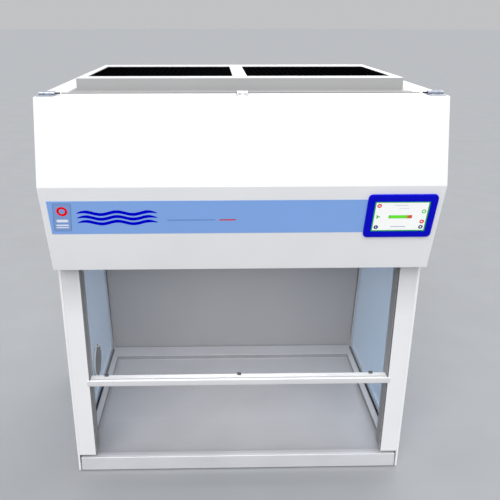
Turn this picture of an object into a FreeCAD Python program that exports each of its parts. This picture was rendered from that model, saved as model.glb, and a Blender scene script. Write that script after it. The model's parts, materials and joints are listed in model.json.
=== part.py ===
import FreeCAD, Part
import math
import os
import Sketcher
from FreeCAD import Placement, Rotation, Vector

# Bench-top recirculating fume cupboard, in millimetres.
# +Z is up, +X is to the right of a person who faces the sash, and -Y points at that person.
# The origin is on the bench, under the middle of the overall width and depth.

NODE_FOLDER = "parts"
TINY = 0.001

# Driving dimensions: alias, millimetres (or a plain ratio or count), meaning.
DIMENSIONS = [
    ("overall_width", 1000, "outside of one side panel to the outside of the other"),
    ("overall_depth", 826, "front nose to the back of the mains inlet"),
    ("roof_height", 1151, "bench to the top of the roof panel"),
    ("foot_height", 3, "how far the feet lift the cabinet"),
    ("sheet", 2, "thickness of the folded steel sheet"),
    ("side_panel_thickness", 6, "thickness of each side panel"),
    ("fascia_height", 451, "roof to the lower edge of the front cover"),
    ("nose_drop", 207.5, "roof to the front cover's fold"),
    ("top_setback", 56, "nose to the front edge of the roof line"),
    ("bottom_setback", 70, "nose to the cover's lower edge"),
    ("pillar_setback", 115, "nose to the front face of the pillars"),
    ("cover_gap", 3, "gap behind the front cover"),
    ("pillar_width", 51, "width of a pillar"),
    ("pillar_depth", 57, "depth of a pillar"),
    ("pillar_bottom", 61, "height of a pillar's lower end"),
    ("slot_setback", 4, "pillar face to the sash slot"),
    ("slot_width", 10, "width of the sash slot"),
    ("tray_gap", 4, "gap between the work tray and a side panel"),
    ("tray_height", 50, "height of the work tray's rim"),
    ("tray_setback", 0.5, "pillar face to the front of the work tray"),
    ("tray_recess", 19, "depth of the spill recess"),
    ("side_rim", 24, "width of the tray's front and side rims"),
    ("back_rim", 70, "width of the tray's back rim"),
    ("rail_width", 40, "width of a base rail"),
    ("rail_height", 26, "height of a base rail"),
    ("foot_length", 60, "length of a rubber foot"),
    ("rear_allowance", 6, "how far the mains inlet stands behind the back panel"),
    ("baffle_setback", 10, "back panel to the baffle at the height of the tray's rim"),
    ("baffle_lean", 0.139, "how far the baffle leans forward for each unit of height"),
    ("baffle_flange", 12, "depth of the baffle's side flanges"),
    ("window_bottom", 70, "height of the side window's lower edge"),
    ("window_drop", 20, "chamber ceiling to the side window's upper edge"),
    ("window_clearance", 1, "gap from a pillar to the side window"),
    ("window_to_baffle", 33, "gap from the side window to the baffle"),
    ("window_pane", 4, "thickness of a side window"),
    ("window_lap", 8, "how far a side window laps behind its panel"),
    ("port_y", 50, "service port centre, front to back"),
    ("port_z", 192, "service port centre height"),
    ("port_radius", 40, "bore of the service port"),
    ("port_wall", 3, "wall of the service port's sleeve"),
    ("port_flange", 12, "width of the service port's flanges"),
    ("cover_radius", 51, "radius of the port's swivel cover"),
    ("pivot_offset", 56, "port centre to the cover's pivot"),
    ("pivot_radius", 3, "radius of the cover's pivot"),
    ("running_clearance", 0.05, "radial clearance of a pin in its bore"),
    ("sash_pane", 5, "thickness of the sash"),
    ("sash_overlap", 288, "how far the sash reaches up behind the front cover"),
    ("sash_edge", 8, "how far the sash pane reaches into a pillar"),
    ("bar_top", 328, "height of the sash bar's top at rest"),
    ("bar_depth", 30, "depth of the sash bar"),
    ("bar_height", 20, "height of the sash bar"),
    ("bar_face", 9, "height of the sash bar's upright front"),
    ("bar_chamfer", 9, "how far the sash bar's lower front is cut back"),
    ("bar_wall", 3, "wall of the sash bar's section"),
    ("bar_end_gap", 1, "gap from the sash bar to a pillar"),
    ("pane_seat", 12, "depth of the pane's seat in the sash bar"),
    ("bumper_inset", 46, "end of the sash bar to an outer bumper's middle"),
    ("bumper_width", 12, "width of a bumper"),
    ("bumper_depth", 8, "depth of a bumper"),
    ("bumper_height", 6, "height of a bumper"),
    ("hanger_drop", 88, "top of the sash to a hanger's lower end"),
    ("hanger_height", 34, "height of a sash hanger"),
    ("pulley_drop", 39, "roof to the pulleys' axles"),
    ("pulley_pitch", 10, "radius at which the cable runs round a pulley"),
    ("pulley_radius", 13, "outer radius of a pulley"),
    ("pulley_width", 10, "width of a pulley"),
    ("axle_radius", 3, "radius of a pulley's axle"),
    ("cable_radius", 1, "radius of a counterweight cable"),
    ("cable_setback", 34, "pillar face to the cables"),
    ("cable_inset", 15, "pillar's inner face to the sash cable"),
    ("groove_clearance", 0.3, "gap between a cable and its groove"),
    ("weight_bottom", 300, "height of a counterweight's lower end at rest"),
    ("weight_length", 310, "length of a counterweight"),
    ("weight_width", 25, "width of a counterweight"),
    ("weight_depth", 36, "depth of a counterweight"),
    ("bulkhead_setback", 22, "pillar face to the upright panel behind the sash"),
    ("ceiling_flange", 20, "height of the chamber ceiling's side flanges"),
    ("intake_inset", 114, "side panel to the air intake"),
    ("intake_setback", 178, "pillar face to the air intake"),
    ("intake_margin", 165, "air intake to the back panel"),
    ("prefilter_lap", 13, "how far the prefilter laps the ceiling"),
    ("prefilter_height", 25, "thickness of the prefilter"),
    ("lamp_inset", 194, "side panel to the lamp's opening"),
    ("lamp_setback", 63, "pillar face to the lamp's opening"),
    ("lamp_depth", 60, "depth of the lamp's opening, front to back"),
    ("lamp_lap", 6, "how far the lamp laps the ceiling"),
    ("lamp_height", 30, "height of the lamp housing"),
    ("fan_plate_rise", 100, "chamber ceiling to the fan plate"),
    ("fan_inset", 254, "side panel to a fan's centre"),
    ("fan_shift", 16.5, "fan centres behind the middle of the head"),
    ("fan_radius", 110, "outer radius of an impeller"),
    ("fan_eye", 78, "radius of an impeller's inlet"),
    ("fan_height", 80, "height of an impeller"),
    ("fan_gap", 13, "fan plate to the underside of an impeller"),
    ("throat_radius", 74, "bore of an inlet ring"),
    ("blade_count", 7, "blades in an impeller"),
    ("hub_radius", 16, "radius of an impeller's hub"),
    ("shaft_radius", 5, "radius of a motor's shaft"),
    ("motor_radius", 48, "radius of a motor"),
    ("motor_height", 60, "height of a motor"),
    ("motor_gap", 5, "gap between a motor and its impeller"),
    ("bridge_half_width", 130, "half the span of a motor bridge"),
    ("bridge_depth", 60, "depth of a motor bridge"),
    ("bridge_sheet", 3, "thickness of a motor bridge"),
    ("shelf_drop", 141, "roof to the filter shelf's underside"),
    ("collar_height", 31.5, "height of the exhaust collar"),
    ("collar_inset", 78, "side of the cabinet to the exhaust collar"),
    ("collar_setback", 95, "roof's front edge to the exhaust collar"),
    ("collar_margin", 158, "exhaust collar to the back of the cabinet"),
    ("collar_divider", 38.6, "width of the bar between the exhaust openings"),
    ("collar_rim", 19.3, "width of the collar's side rims"),
    ("outlet_setback", 56, "collar's front face to the exhaust openings"),
    ("outlet_margin", 70, "exhaust openings to the collar's back face"),
    ("flange_side", 15, "width of the collar's foot at the sides and back"),
    ("flange_front", 33, "width of the collar's foot at the front"),
    ("mesh_thickness", 1.5, "thickness of an exhaust grille"),
    ("mesh_lap", 6, "how far a grille laps behind the collar"),
    ("slot_pitch", 16, "pitch of an exhaust grille's slots"),
    ("grille_slot", 9, "width of an exhaust grille's slots"),
    ("filter_lap", 4, "how much wider a carbon filter is than its opening"),
    ("hinge_setback", 90.5, "nose to the cover's hinge line"),
    ("hinge_half_gap", 1.5, "half the gap between roof and cover at the hinges"),
    ("barrel_radius", 5, "outer radius of a hinge barrel"),
    ("hinge_pin_radius", 2, "radius of a hinge pin"),
    ("hinge_inset", 6, "side of the cabinet to an outer hinge"),
    ("hinge_length", 39, "length of an outer hinge"),
    ("centre_hinge", 27, "length of the middle hinge"),
    ("knuckle_gap", 0.3, "gap between two knuckles"),
    ("hinge_leaf", 26, "depth of a hinge leaf"),
    ("pin_proud", 12, "how far an outer hinge's pin stands out"),
    ("centre_proud", 1.5, "how far the middle hinge's pin stands out"),
    ("strip_start", 38, "nose to the upper edge of the label strip"),
    ("strip_end", 136, "nose to the lower edge of the label strip"),
    ("strip_inset", 16.3, "side of the cabinet to the label strip"),
    ("strip_thickness", 0.6, "thickness of the label strip"),
    ("bezel_inset", 102, "side of the cabinet to the middle of the display"),
    ("bezel_drop", 86, "nose to the middle of the display"),
    ("bezel_width", 174, "width of the display's bezel"),
    ("bezel_tall", 126, "height of the display's bezel"),
    ("bezel_thickness", 6, "thickness of the display's bezel"),
    ("bezel_corner", 11, "corner radius of the display's bezel"),
    ("screen_width", 138.5, "width of the screen"),
    ("screen_tall", 89, "height of the screen"),
    ("screen_thickness", 3, "thickness of the screen"),
    ("display_box_depth", 24, "depth of the display's box behind the cover"),
    ("display_box_margin", 12, "bezel's edge to the display's box"),
    ("screw_rise", 40, "lower edge of the back panel to its lowest screws"),
    ("screw_drop", 148, "roof to the back panel's highest screws"),
    ("screw_edge", 8, "side panel to the back panel's screws"),
    ("screw_rows", 7, "screws down each side of the back panel"),
    ("screw_radius", 2, "radius of a screw's shank"),
    ("screw_head", 4, "radius of a screw's head"),
    ("screw_head_height", 2.2, "height of a screw's head"),
    ("screw_length", 6, "length of a screw's shank"),
    ("inlet_x", 300, "mains inlet, left to right"),
    ("inlet_drop", 85, "roof to the middle of the mains inlet"),
    ("sensor_x", 300, "gas sensor, left to right"),
    ("sensor_drop", 60, "filter shelf to the middle of the gas sensor"),
]


class Size:
    """A length that holds both its number and its formula in the sheet's names."""

    def __init__(self, value, formula):
        self.value = value
        self.formula = formula

    @staticmethod
    def of(thing):
        return thing if isinstance(thing, Size) else Size(float(thing), repr(float(thing)))

    def join(self, sign, other, value):
        return Size(value, f"({self.formula} {sign} {other.formula})")

    def __add__(self, other):
        other = Size.of(other)
        return self.join("+", other, self.value + other.value)

    def __sub__(self, other):
        other = Size.of(other)
        return self.join("-", other, self.value - other.value)

    def __mul__(self, other):
        other = Size.of(other)
        return self.join("*", other, self.value * other.value)

    def __truediv__(self, other):
        other = Size.of(other)
        return self.join("/", other, self.value / other.value)

    def __neg__(self):
        return Size(-self.value, f"(-1 * {self.formula})")

    def __radd__(self, other):
        return Size.of(other) + self

    def __rsub__(self, other):
        return Size.of(other) - self

    def __rmul__(self, other):
        return Size.of(other) * self


def root(size):
    """Square root of a size."""
    return Size(math.sqrt(size.value), f"sqrt({size.formula})")


# ---------------------------------------------------------------- the document and its sheet

doc = FreeCAD.newDocument("FumeCupboard")
sheet = doc.addObject("Spreadsheet::Sheet", "dims")
for row, (alias, amount, meaning) in enumerate(DIMENSIONS, start=1):
    sheet.set(f"A{row}", meaning)
    sheet.set(f"B{row}", str(amount))
    sheet.setAlias(f"B{row}", alias)
doc.recompute()


def dim(alias):
    """One driving dimension of the sheet."""
    return Size(float(sheet.get(alias)), f"dims.{alias}")


# ---------------------------------------------------------------- places that several pieces share

SHEET = dim("sheet")
HALF_WIDTH = dim("overall_width") / 2
PANEL_INSIDE = HALF_WIDTH - dim("side_panel_thickness")
NOSE_Y = -(dim("overall_depth") / 2)
REAR_Y = dim("overall_depth") / 2
BACK_Y = REAR_Y - dim("rear_allowance")
BACK_INSIDE = BACK_Y - SHEET
FACE_Y = NOSE_Y + dim("pillar_setback")
COVER_BACK = FACE_Y - dim("cover_gap")
ROOF_Z = dim("roof_height")
ROOF_UNDER = ROOF_Z - SHEET
HEAD_Z = ROOF_Z - dim("fascia_height")
NOSE_Z = ROOF_Z - dim("nose_drop")
HINGE_Y = NOSE_Y + dim("hinge_setback")
HINGE_Z = ROOF_Z + dim("barrel_radius")
ROOF_FRONT = HINGE_Y + dim("hinge_half_gap")
COVER_REAR = HINGE_Y - dim("hinge_half_gap")
FOOT_Z = dim("foot_height")
RAIL_Z = FOOT_Z + dim("rail_height")
TRAY_Z = dim("tray_height")
TRAY_HALF = PANEL_INSIDE - dim("tray_gap")
BAFFLE_Y = BACK_Y - dim("baffle_setback")
TRAY_BACK = BAFFLE_Y - dim("tray_gap")
TRAY_FRONT = FACE_Y + dim("tray_setback")
PILLAR_INSIDE = PANEL_INSIDE - dim("pillar_width")
PILLAR_BACK = FACE_Y + dim("pillar_depth")
SLOT_Y = FACE_Y + dim("slot_setback")
SASH_Y = SLOT_Y + (dim("slot_width") - dim("sash_pane")) / 2
SASH_BACK = SASH_Y + dim("sash_pane")
SASH_HALF = PILLAR_INSIDE + dim("sash_edge")
SASH_BOTTOM = dim("bar_top") - dim("pane_seat")
SASH_TOP = HEAD_Z + dim("sash_overlap")
BULKHEAD_Y = FACE_Y + dim("bulkhead_setback")
CABLE_Y = FACE_Y + dim("cable_setback")
SASH_CABLE_X = PILLAR_INSIDE + dim("cable_inset")
PULLEY_X = SASH_CABLE_X + dim("pulley_pitch")
WEIGHT_CABLE_X = PULLEY_X + dim("pulley_pitch")
PULLEY_Z = ROOF_Z - dim("pulley_drop")
WEIGHT_TOP = dim("weight_bottom") + dim("weight_length")
HANGER_BOTTOM = SASH_TOP - dim("hanger_drop")
HANGER_TOP = HANGER_BOTTOM + dim("hanger_height")
CEILING_TOP = HEAD_Z + SHEET
FAN_PLATE_Z = HEAD_Z + dim("fan_plate_rise")
FAN_PLATE_TOP = FAN_PLATE_Z + SHEET
IMPELLER_Z = FAN_PLATE_TOP + dim("fan_gap")
IMPELLER_TOP = IMPELLER_Z + dim("fan_height")
MOTOR_Z = IMPELLER_TOP + dim("motor_gap")
MOTOR_TOP = MOTOR_Z + dim("motor_height")
SHELF_Z = ROOF_Z - dim("shelf_drop")
SHELF_TOP = SHELF_Z + SHEET
COLLAR_Z = ROOF_Z + dim("collar_height")
COLLAR_UNDER = COLLAR_Z - SHEET
MESH_Z = COLLAR_UNDER - dim("mesh_thickness")
OUTLET_INNER = dim("collar_divider") / 2
COLLAR_HALF = HALF_WIDTH - dim("collar_inset")
OUTLET_OUTER = COLLAR_HALF - dim("collar_rim")
COLLAR_Y = (ROOF_FRONT + dim("collar_setback"), BACK_Y - dim("collar_margin"))
OUTLET_Y = (COLLAR_Y[0] + dim("outlet_setback"), COLLAR_Y[1] - dim("outlet_margin"))
BAND_DROP = dim("fascia_height") - dim("nose_drop")
BAND_LENGTH = root(BAND_DROP * BAND_DROP + dim("bottom_setback") * dim("bottom_setback"))
BAND_BACK = dim("bottom_setback") / BAND_LENGTH
BAND_DOWN = BAND_DROP / BAND_LENGTH

nodes = {}


def baffle_face(height):
    """Front face of the leaning baffle at a height."""
    return BAFFLE_Y - dim("baffle_lean") * (height - TRAY_Z)


def band_point(along, proud):
    """Point (Y, Z) on the cover's lower band: along it from the nose, and proud of its face."""
    y = NOSE_Y + BAND_BACK * along - BAND_DOWN * proud
    z = NOSE_Z - BAND_DOWN * along - BAND_BACK * proud
    return (y, z)


def across(side, near, far):
    """X range between two distances from the middle: side is 1 for the right, -1 for the left."""
    near = Size.of(near)
    far = Size.of(far)
    return (near, far) if side > 0 else (-far, -near)


def outward(side, distance):
    """X at a distance from the middle, on one side."""
    return distance if side > 0 else -distance


# ---------------------------------------------------------------- drawing and solid helpers


def rectangle(left, right, low, high):
    """Corners of a rectangle in a sketch."""
    return [(left, low), (right, low), (right, high), (left, high)]


def circle(across_centre, up_centre, radius):
    """A circle in a sketch."""
    return ("circle", across_centre, up_centre, radius)


def bind(sketch, kind, geometry, point, size):
    """Fixes one coordinate of a sketch point from the origin."""
    size = Size.of(size)
    constraint = Sketcher.Constraint(kind, -1, 1, geometry, point, size.value)
    index = sketch.addConstraint(constraint)
    sketch.setExpression(f"Constraints[{index}]", size.formula)


def draw_circle(sketch, outline):
    _, centre_x, centre_y, radius = outline
    centre = Vector(Size.of(centre_x).value, Size.of(centre_y).value, 0)
    index = sketch.addGeometry(Part.Circle(centre, Vector(0, 0, 1), radius.value), False)
    bind(sketch, "DistanceX", index, 3, centre_x)
    bind(sketch, "DistanceY", index, 3, centre_y)
    constraint = sketch.addConstraint(Sketcher.Constraint("Radius", index, radius.value))
    sketch.setExpression(f"Constraints[{constraint}]", radius.formula)


def draw_polygon(sketch, outline):
    corners = [(Size.of(a), Size.of(b)) for a, b in outline]
    points = [Vector(a.value, b.value, 0) for a, b in corners]
    first = sketch.GeometryCount
    for start, end in zip(points, points[1:] + points[:1]):
        sketch.addGeometry(Part.LineSegment(start, end), False)
    for index, (a, b) in enumerate(corners):
        following = first + (index + 1) % len(corners)
        sketch.addConstraint(Sketcher.Constraint("Coincident", first + index, 2, following, 1))
        bind(sketch, "DistanceX", first + index, 1, a)
        bind(sketch, "DistanceY", first + index, 1, b)


def new_body(name):
    return doc.addObject("PartDesign::Body", name)


def new_sketch(body, name, plane, at, outlines):
    """Sketch on one of the body's own planes, moved along that plane's world axis to `at`."""
    sketch = body.newObject("Sketcher::SketchObject", name)
    support = next(item for item in body.Origin.OriginFeatures if item.Role == plane)
    sketch.AttachmentSupport = (support, [""])
    sketch.MapMode = "FlatFace"
    at = Size.of(at)
    offset = -at if plane == "XZ_Plane" else at
    sketch.setExpression("AttachmentOffset.Base.z", offset.formula)
    for outline in outlines:
        if outline[0] == "circle":
            draw_circle(sketch, outline)
        else:
            draw_polygon(sketch, outline)
    return sketch


def pad(body, name, plane, low, high, *outlines):
    """Adds material between two places along the plane's world axis."""
    low = Size.of(low)
    high = Size.of(high)
    feature = body.newObject("PartDesign::Pad", name)
    feature.Profile = new_sketch(body, name + "Sketch", plane, low, outlines)
    feature.setExpression("Length", (high - low).formula)
    feature.Reversed = plane == "XZ_Plane"
    doc.recompute()
    return feature


def pocket(body, name, plane, low, high, *outlines):
    """Cuts material between two places along the plane's world axis, and checks that it cut."""
    low = Size.of(low)
    high = Size.of(high)
    before = body.Shape.Volume
    feature = body.newObject("PartDesign::Pocket", name)
    feature.Profile = new_sketch(body, name + "Sketch", plane, low, outlines)
    feature.setExpression("Length", (high - low).formula)
    feature.Reversed = plane != "XZ_Plane"
    doc.recompute()
    if body.Shape.Volume > before - TINY:
        raise ValueError(f"{name} cut nothing")
    return feature


def extent(edge):
    """Box round an edge, from points along it."""
    bounds = FreeCAD.BoundBox()
    for point in edge.discretize(5):
        bounds.add(point)
    return bounds


def fillet(body, name, radius, chosen):
    """Rounds the edges that `chosen` picks by their extents."""
    base = body.Tip
    picked = [f"Edge{index + 1}" for index, edge in enumerate(base.Shape.Edges)
              if chosen(extent(edge))]
    if not picked:
        raise ValueError(f"{name} found no edges")
    feature = body.newObject("PartDesign::Fillet", name)
    feature.Base = (base, picked)
    radius = Size.of(radius)
    feature.setExpression("Radius", radius.formula)
    doc.recompute()
    return feature


def near(value, size):
    return abs(value - Size.of(size).value) < 0.01


def upright(bounds):
    """True for an edge that runs straight up."""
    return bounds.XLength < TINY and bounds.YLength < TINY and bounds.ZLength > TINY


def sideways(bounds):
    """True for an edge that runs from side to side."""
    return bounds.YLength < TINY and bounds.ZLength < TINY and bounds.XLength > TINY


def place(item, x, y, z, rotation=None):
    """Binds an object's position, after its fixed rotation is set."""
    if rotation is not None:
        item.Placement = Placement(Vector(0, 0, 0), rotation)
    for axis, size in zip("xyz", (x, y, z)):
        item.setExpression(f"Placement.Base.{axis}", Size.of(size).formula)


def box(name, x_range, y_range, z_range):
    item = doc.addObject("Part::Box", name)
    for prop, (low, high) in zip(("Length", "Width", "Height"), (x_range, y_range, z_range)):
        item.setExpression(prop, (Size.of(high) - Size.of(low)).formula)
    place(item, x_range[0], y_range[0], z_range[0])
    return item


TURN_TO = {
    "X": Rotation(Vector(0, 1, 0), 90),
    "Y": Rotation(Vector(1, 0, 0), -90),
    "Z": Rotation(),
}


def cylinder(name, axis, radius, x, y, z, length):
    """Cylinder that starts at a point and runs along +X, +Y or +Z."""
    item = doc.addObject("Part::Cylinder", name)
    item.setExpression("Radius", Size.of(radius).formula)
    item.setExpression("Height", Size.of(length).formula)
    place(item, x, y, z, TURN_TO[axis])
    return item


def fuse(name, *pieces):
    item = doc.addObject("Part::MultiFuse", name)
    item.Shapes = list(pieces)
    item.Refine = True
    return item


def cut(name, base, tool):
    item = doc.addObject("Part::Cut", name)
    item.Base = base
    item.Tool = tool
    return item


def group(name, *pieces):
    """Separate solids of one kind that share a node."""
    item = doc.addObject("Part::Compound", name)
    item.Links = list(pieces)
    return item


def node(name, item):
    """Registers an object as the sub-part of that name."""
    item.Label = name
    nodes[name] = item
    return item


SIDES = {"left": -1, "right": 1}

# ---------------------------------------------------------------- cabinet: panels, pillars, base


def window_outline(grow):
    """Side window's outline (Y, Z): its back edge runs parallel to the leaning baffle."""
    low = dim("window_bottom") - grow
    high = HEAD_Z - dim("window_drop") + grow
    front = PILLAR_BACK + dim("window_clearance") + dim("window_lap") - grow
    back = grow - dim("window_to_baffle")
    return [(front, low), (baffle_face(low) + back, low), (baffle_face(high) + back, high),
            (front, high)]


def side_panel(name, side):
    body = new_body(name)
    x_range = across(side, PANEL_INSIDE, HALF_WIDTH)
    pad(body, name + "Plate", "YZ_Plane", *x_range, rectangle(FACE_Y, BACK_Y, FOOT_Z, ROOF_UNDER))
    pocket(body, name + "Opening", "YZ_Plane", *x_range, window_outline(Size.of(0)))
    return body


def side_window(name, side):
    body = new_body(name)
    x_range = across(side, PANEL_INSIDE - dim("window_pane"), PANEL_INSIDE)
    pad(body, name + "Pane", "YZ_Plane", *x_range, window_outline(dim("window_lap")))
    if side < 0:
        bore = dim("port_radius") + dim("port_wall") + dim("running_clearance")
        pocket(body, name + "PortHole", "YZ_Plane", *x_range,
               circle(dim("port_y"), dim("port_z"), bore))
    return body


def pillar(name, side):
    """Box-section pillar with a slot down its inner face, in which the sash runs."""
    body = new_body(name)
    outer = across(side, PILLAR_INSIDE, PANEL_INSIDE)
    inner = across(side, PILLAR_INSIDE + SHEET, PANEL_INSIDE - SHEET)
    slot = across(side, PILLAR_INSIDE, PILLAR_INSIDE + SHEET)
    z_range = (dim("pillar_bottom"), ROOF_UNDER)
    pad(body, name + "Box", "XY_Plane", *z_range, rectangle(*outer, FACE_Y, PILLAR_BACK))
    pocket(body, name + "Hollow", "XY_Plane", *z_range,
           rectangle(*inner, FACE_Y + SHEET, PILLAR_BACK - SHEET))
    pocket(body, name + "Slot", "XY_Plane", *z_range,
           rectangle(*slot, SLOT_Y, SLOT_Y + dim("slot_width")))
    return body


for word, side in SIDES.items():
    node(f"side_panel_{word}", side_panel(f"SidePanel{word.title()}", side))
    node(f"side_window_{word}", side_window(f"SideWindow{word.title()}", side))
    node(f"pillar_{word}", pillar(f"Pillar{word.title()}", side))

# The base frame is a ring of inverted channels under the edge of the work tray.
base = new_body("BaseFrame")
RAIL_FRONT = TRAY_FRONT + 2 * SHEET
RAIL_WIDTH = dim("rail_width")
rail_ring = rectangle(-PANEL_INSIDE, PANEL_INSIDE, RAIL_FRONT, BACK_INSIDE)
rail_middle = rectangle(RAIL_WIDTH - PANEL_INSIDE, PANEL_INSIDE - RAIL_WIDTH,
                        RAIL_FRONT + RAIL_WIDTH, BACK_INSIDE - RAIL_WIDTH)
pad(base, "RailRing", "XY_Plane", FOOT_Z, RAIL_Z, rail_ring, rail_middle)
channel_outer = rectangle(SHEET - PANEL_INSIDE, PANEL_INSIDE - SHEET, RAIL_FRONT + SHEET,
                          BACK_INSIDE - SHEET)
channel_inner = rectangle(RAIL_WIDTH - SHEET - PANEL_INSIDE, PANEL_INSIDE - RAIL_WIDTH + SHEET,
                          RAIL_FRONT + RAIL_WIDTH - SHEET, BACK_INSIDE - RAIL_WIDTH + SHEET)
pocket(base, "RailChannel", "XY_Plane", FOOT_Z, RAIL_Z - SHEET, channel_outer, channel_inner)
node("base_frame", base)

# Four rubber blocks sit inside the channels' corners and carry the cabinet.
feet = []
FOOT_INSET = 1
for side in SIDES.values():
    x_range = across(side, PANEL_INSIDE - RAIL_WIDTH + SHEET + FOOT_INSET,
                     PANEL_INSIDE - SHEET - FOOT_INSET)
    front = RAIL_FRONT + SHEET + FOOT_INSET
    back = BACK_INSIDE - SHEET - FOOT_INSET
    for low, high in ((front, front + dim("foot_length")), (back - dim("foot_length"), back)):
        feet.append(box(f"Foot{len(feet)}", x_range, (low, high), (0, RAIL_Z - SHEET)))
node("rubber_feet", group("RubberFeet", *feet))

# Work tray: folded sheet with a raised rim, a spill recess and a front apron down to the bench.
tray = new_body("WorkTray")
RECESS_HALF = TRAY_HALF - dim("side_rim")
RECESS_FRONT = TRAY_FRONT + dim("side_rim")
RECESS_BACK = TRAY_BACK - dim("back_rim")
FLOOR_Z = TRAY_Z - dim("tray_recess")
tray_outline = rectangle(-TRAY_HALF, TRAY_HALF, TRAY_FRONT, TRAY_BACK)
pad(tray, "TrayBlock", "XY_Plane", RAIL_Z, TRAY_Z, tray_outline)
recess = rectangle(-RECESS_HALF, RECESS_HALF, RECESS_FRONT, RECESS_BACK)
pocket(tray, "Recess", "XY_Plane", FLOOR_Z, TRAY_Z, recess)
recess_outside = rectangle(-RECESS_HALF - SHEET, RECESS_HALF + SHEET, RECESS_FRONT - SHEET,
                           RECESS_BACK + SHEET)
rim_inside = rectangle(SHEET - TRAY_HALF, TRAY_HALF - SHEET, TRAY_FRONT + SHEET, TRAY_BACK - SHEET)
pocket(tray, "RimHollow", "XY_Plane", RAIL_Z, TRAY_Z - SHEET, rim_inside, recess_outside)
APRON_GAP = 1
APRON_Z = FOOT_Z + APRON_GAP
pad(tray, "Apron", "XY_Plane", APRON_Z, RAIL_Z,
    rectangle(-TRAY_HALF, TRAY_HALF, TRAY_FRONT, TRAY_FRONT + SHEET))
FOLD_RADIUS = SHEET * 0.9
RECESS_RADIUS = SHEET * 3
fillet(tray, "FrontFold", FOLD_RADIUS,
       lambda edge: sideways(edge) and near(edge.YMin, TRAY_FRONT) and near(edge.ZMin, TRAY_Z))
fillet(tray, "RecessCorners", RECESS_RADIUS,
       lambda edge: upright(edge) and near(edge.ZMax, TRAY_Z) and near(edge.ZMin, FLOOR_Z))
node("work_tray", tray)

# Back panel with its screw holes and the cut-out for the mains inlet.
back = new_body("BackPanel")
SCREW_X = PANEL_INSIDE - dim("screw_edge")
SCREW_Z = FOOT_Z + dim("screw_rise")
SCREW_ROWS = int(dim("screw_rows").value)
SCREW_STEP = (ROOF_Z - dim("screw_drop") - SCREW_Z) / (dim("screw_rows") - 1)
INLET_X = dim("inlet_x")
INLET_Z = ROOF_Z - dim("inlet_drop")
INLET_BODY_HALF = 31
INLET_BODY_TALL = 13
INLET_CLEAR = 1
INLET_HALF = INLET_BODY_HALF + INLET_CLEAR
INLET_TALL = INLET_BODY_TALL + INLET_CLEAR
screw_places = []
for side in SIDES.values():
    for step in range(SCREW_ROWS):
        screw_places.append((outward(side, SCREW_X), SCREW_Z + SCREW_STEP * step))
pad(back, "BackPlate", "XZ_Plane", BACK_INSIDE, BACK_Y,
    rectangle(-PANEL_INSIDE, PANEL_INSIDE, FOOT_Z, ROOF_UNDER))
screw_hole = dim("screw_radius") + dim("running_clearance")
pocket(back, "ScrewHoles", "XZ_Plane", BACK_INSIDE, BACK_Y,
       *[circle(x, z, screw_hole) for x, z in screw_places])
pocket(back, "InletHole", "XZ_Plane", BACK_INSIDE, BACK_Y,
       rectangle(INLET_X - INLET_HALF, INLET_X + INLET_HALF,
                 INLET_Z - INLET_TALL, INLET_Z + INLET_TALL))
node("back_panel", back)

screws = []
for index, (x, z) in enumerate(screw_places):
    shank = cylinder(f"Shank{index}", "Y", dim("screw_radius"), x, BACK_Y - dim("screw_length"), z,
                     dim("screw_length"))
    head = cylinder(f"Head{index}", "Y", dim("screw_head"), x, BACK_Y, z,
                    dim("screw_head_height"))
    screws.append(fuse(f"Screw{index}", shank, head))
node("panel_screws", group("PanelScrews", *screws))

# Leaning rear baffle with a flange folded back along each side.
baffle = new_body("RearBaffle")
BAFFLE_INSET = 1
BAFFLE_HALF = PANEL_INSIDE - dim("tray_gap") - BAFFLE_INSET
BAFFLE_TOP = HEAD_Z


def baffle_outline(near_side, far_side):
    """Section (Y, Z) between two depths behind the baffle's front face."""
    return [(baffle_face(RAIL_Z) + near_side, RAIL_Z), (baffle_face(RAIL_Z) + far_side, RAIL_Z),
            (baffle_face(BAFFLE_TOP) + far_side, BAFFLE_TOP),
            (baffle_face(BAFFLE_TOP) + near_side, BAFFLE_TOP)]


pad(baffle, "BafflePlate", "YZ_Plane", -BAFFLE_HALF, BAFFLE_HALF, baffle_outline(0, SHEET))
FLANGE_RISE = 60
FLANGE_Z = RAIL_Z + FLANGE_RISE
for word, side in SIDES.items():
    flange = [(baffle_face(FLANGE_Z) + SHEET, FLANGE_Z),
              (baffle_face(FLANGE_Z) + dim("baffle_flange"), FLANGE_Z),
              (baffle_face(BAFFLE_TOP) + dim("baffle_flange"), BAFFLE_TOP),
              (baffle_face(BAFFLE_TOP) + SHEET, BAFFLE_TOP)]
    pad(baffle, f"Flange{word.title()}", "YZ_Plane",
        *across(side, BAFFLE_HALF - SHEET, BAFFLE_HALF), flange)
node("rear_baffle", baffle)

# ---------------------------------------------------------------- service port in the left window

PORT_Y = dim("port_y")
PORT_Z = dim("port_z")
PORT_OUT = dim("port_radius") + dim("port_wall")
PORT_FLANGE = PORT_OUT + dim("port_flange")
PANE_OUTSIDE = -PANEL_INSIDE
PANE_FACE = dim("window_pane") - PANEL_INSIDE
FLANGE_THICK = 3
RING_FACE = PANE_FACE + FLANGE_THICK
PIVOT_Z = PORT_Z + dim("pivot_offset")
COVER_PLAY = 0.3
COVER_NEAR = RING_FACE + COVER_PLAY
COVER_FAR = COVER_NEAR + SHEET

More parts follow.
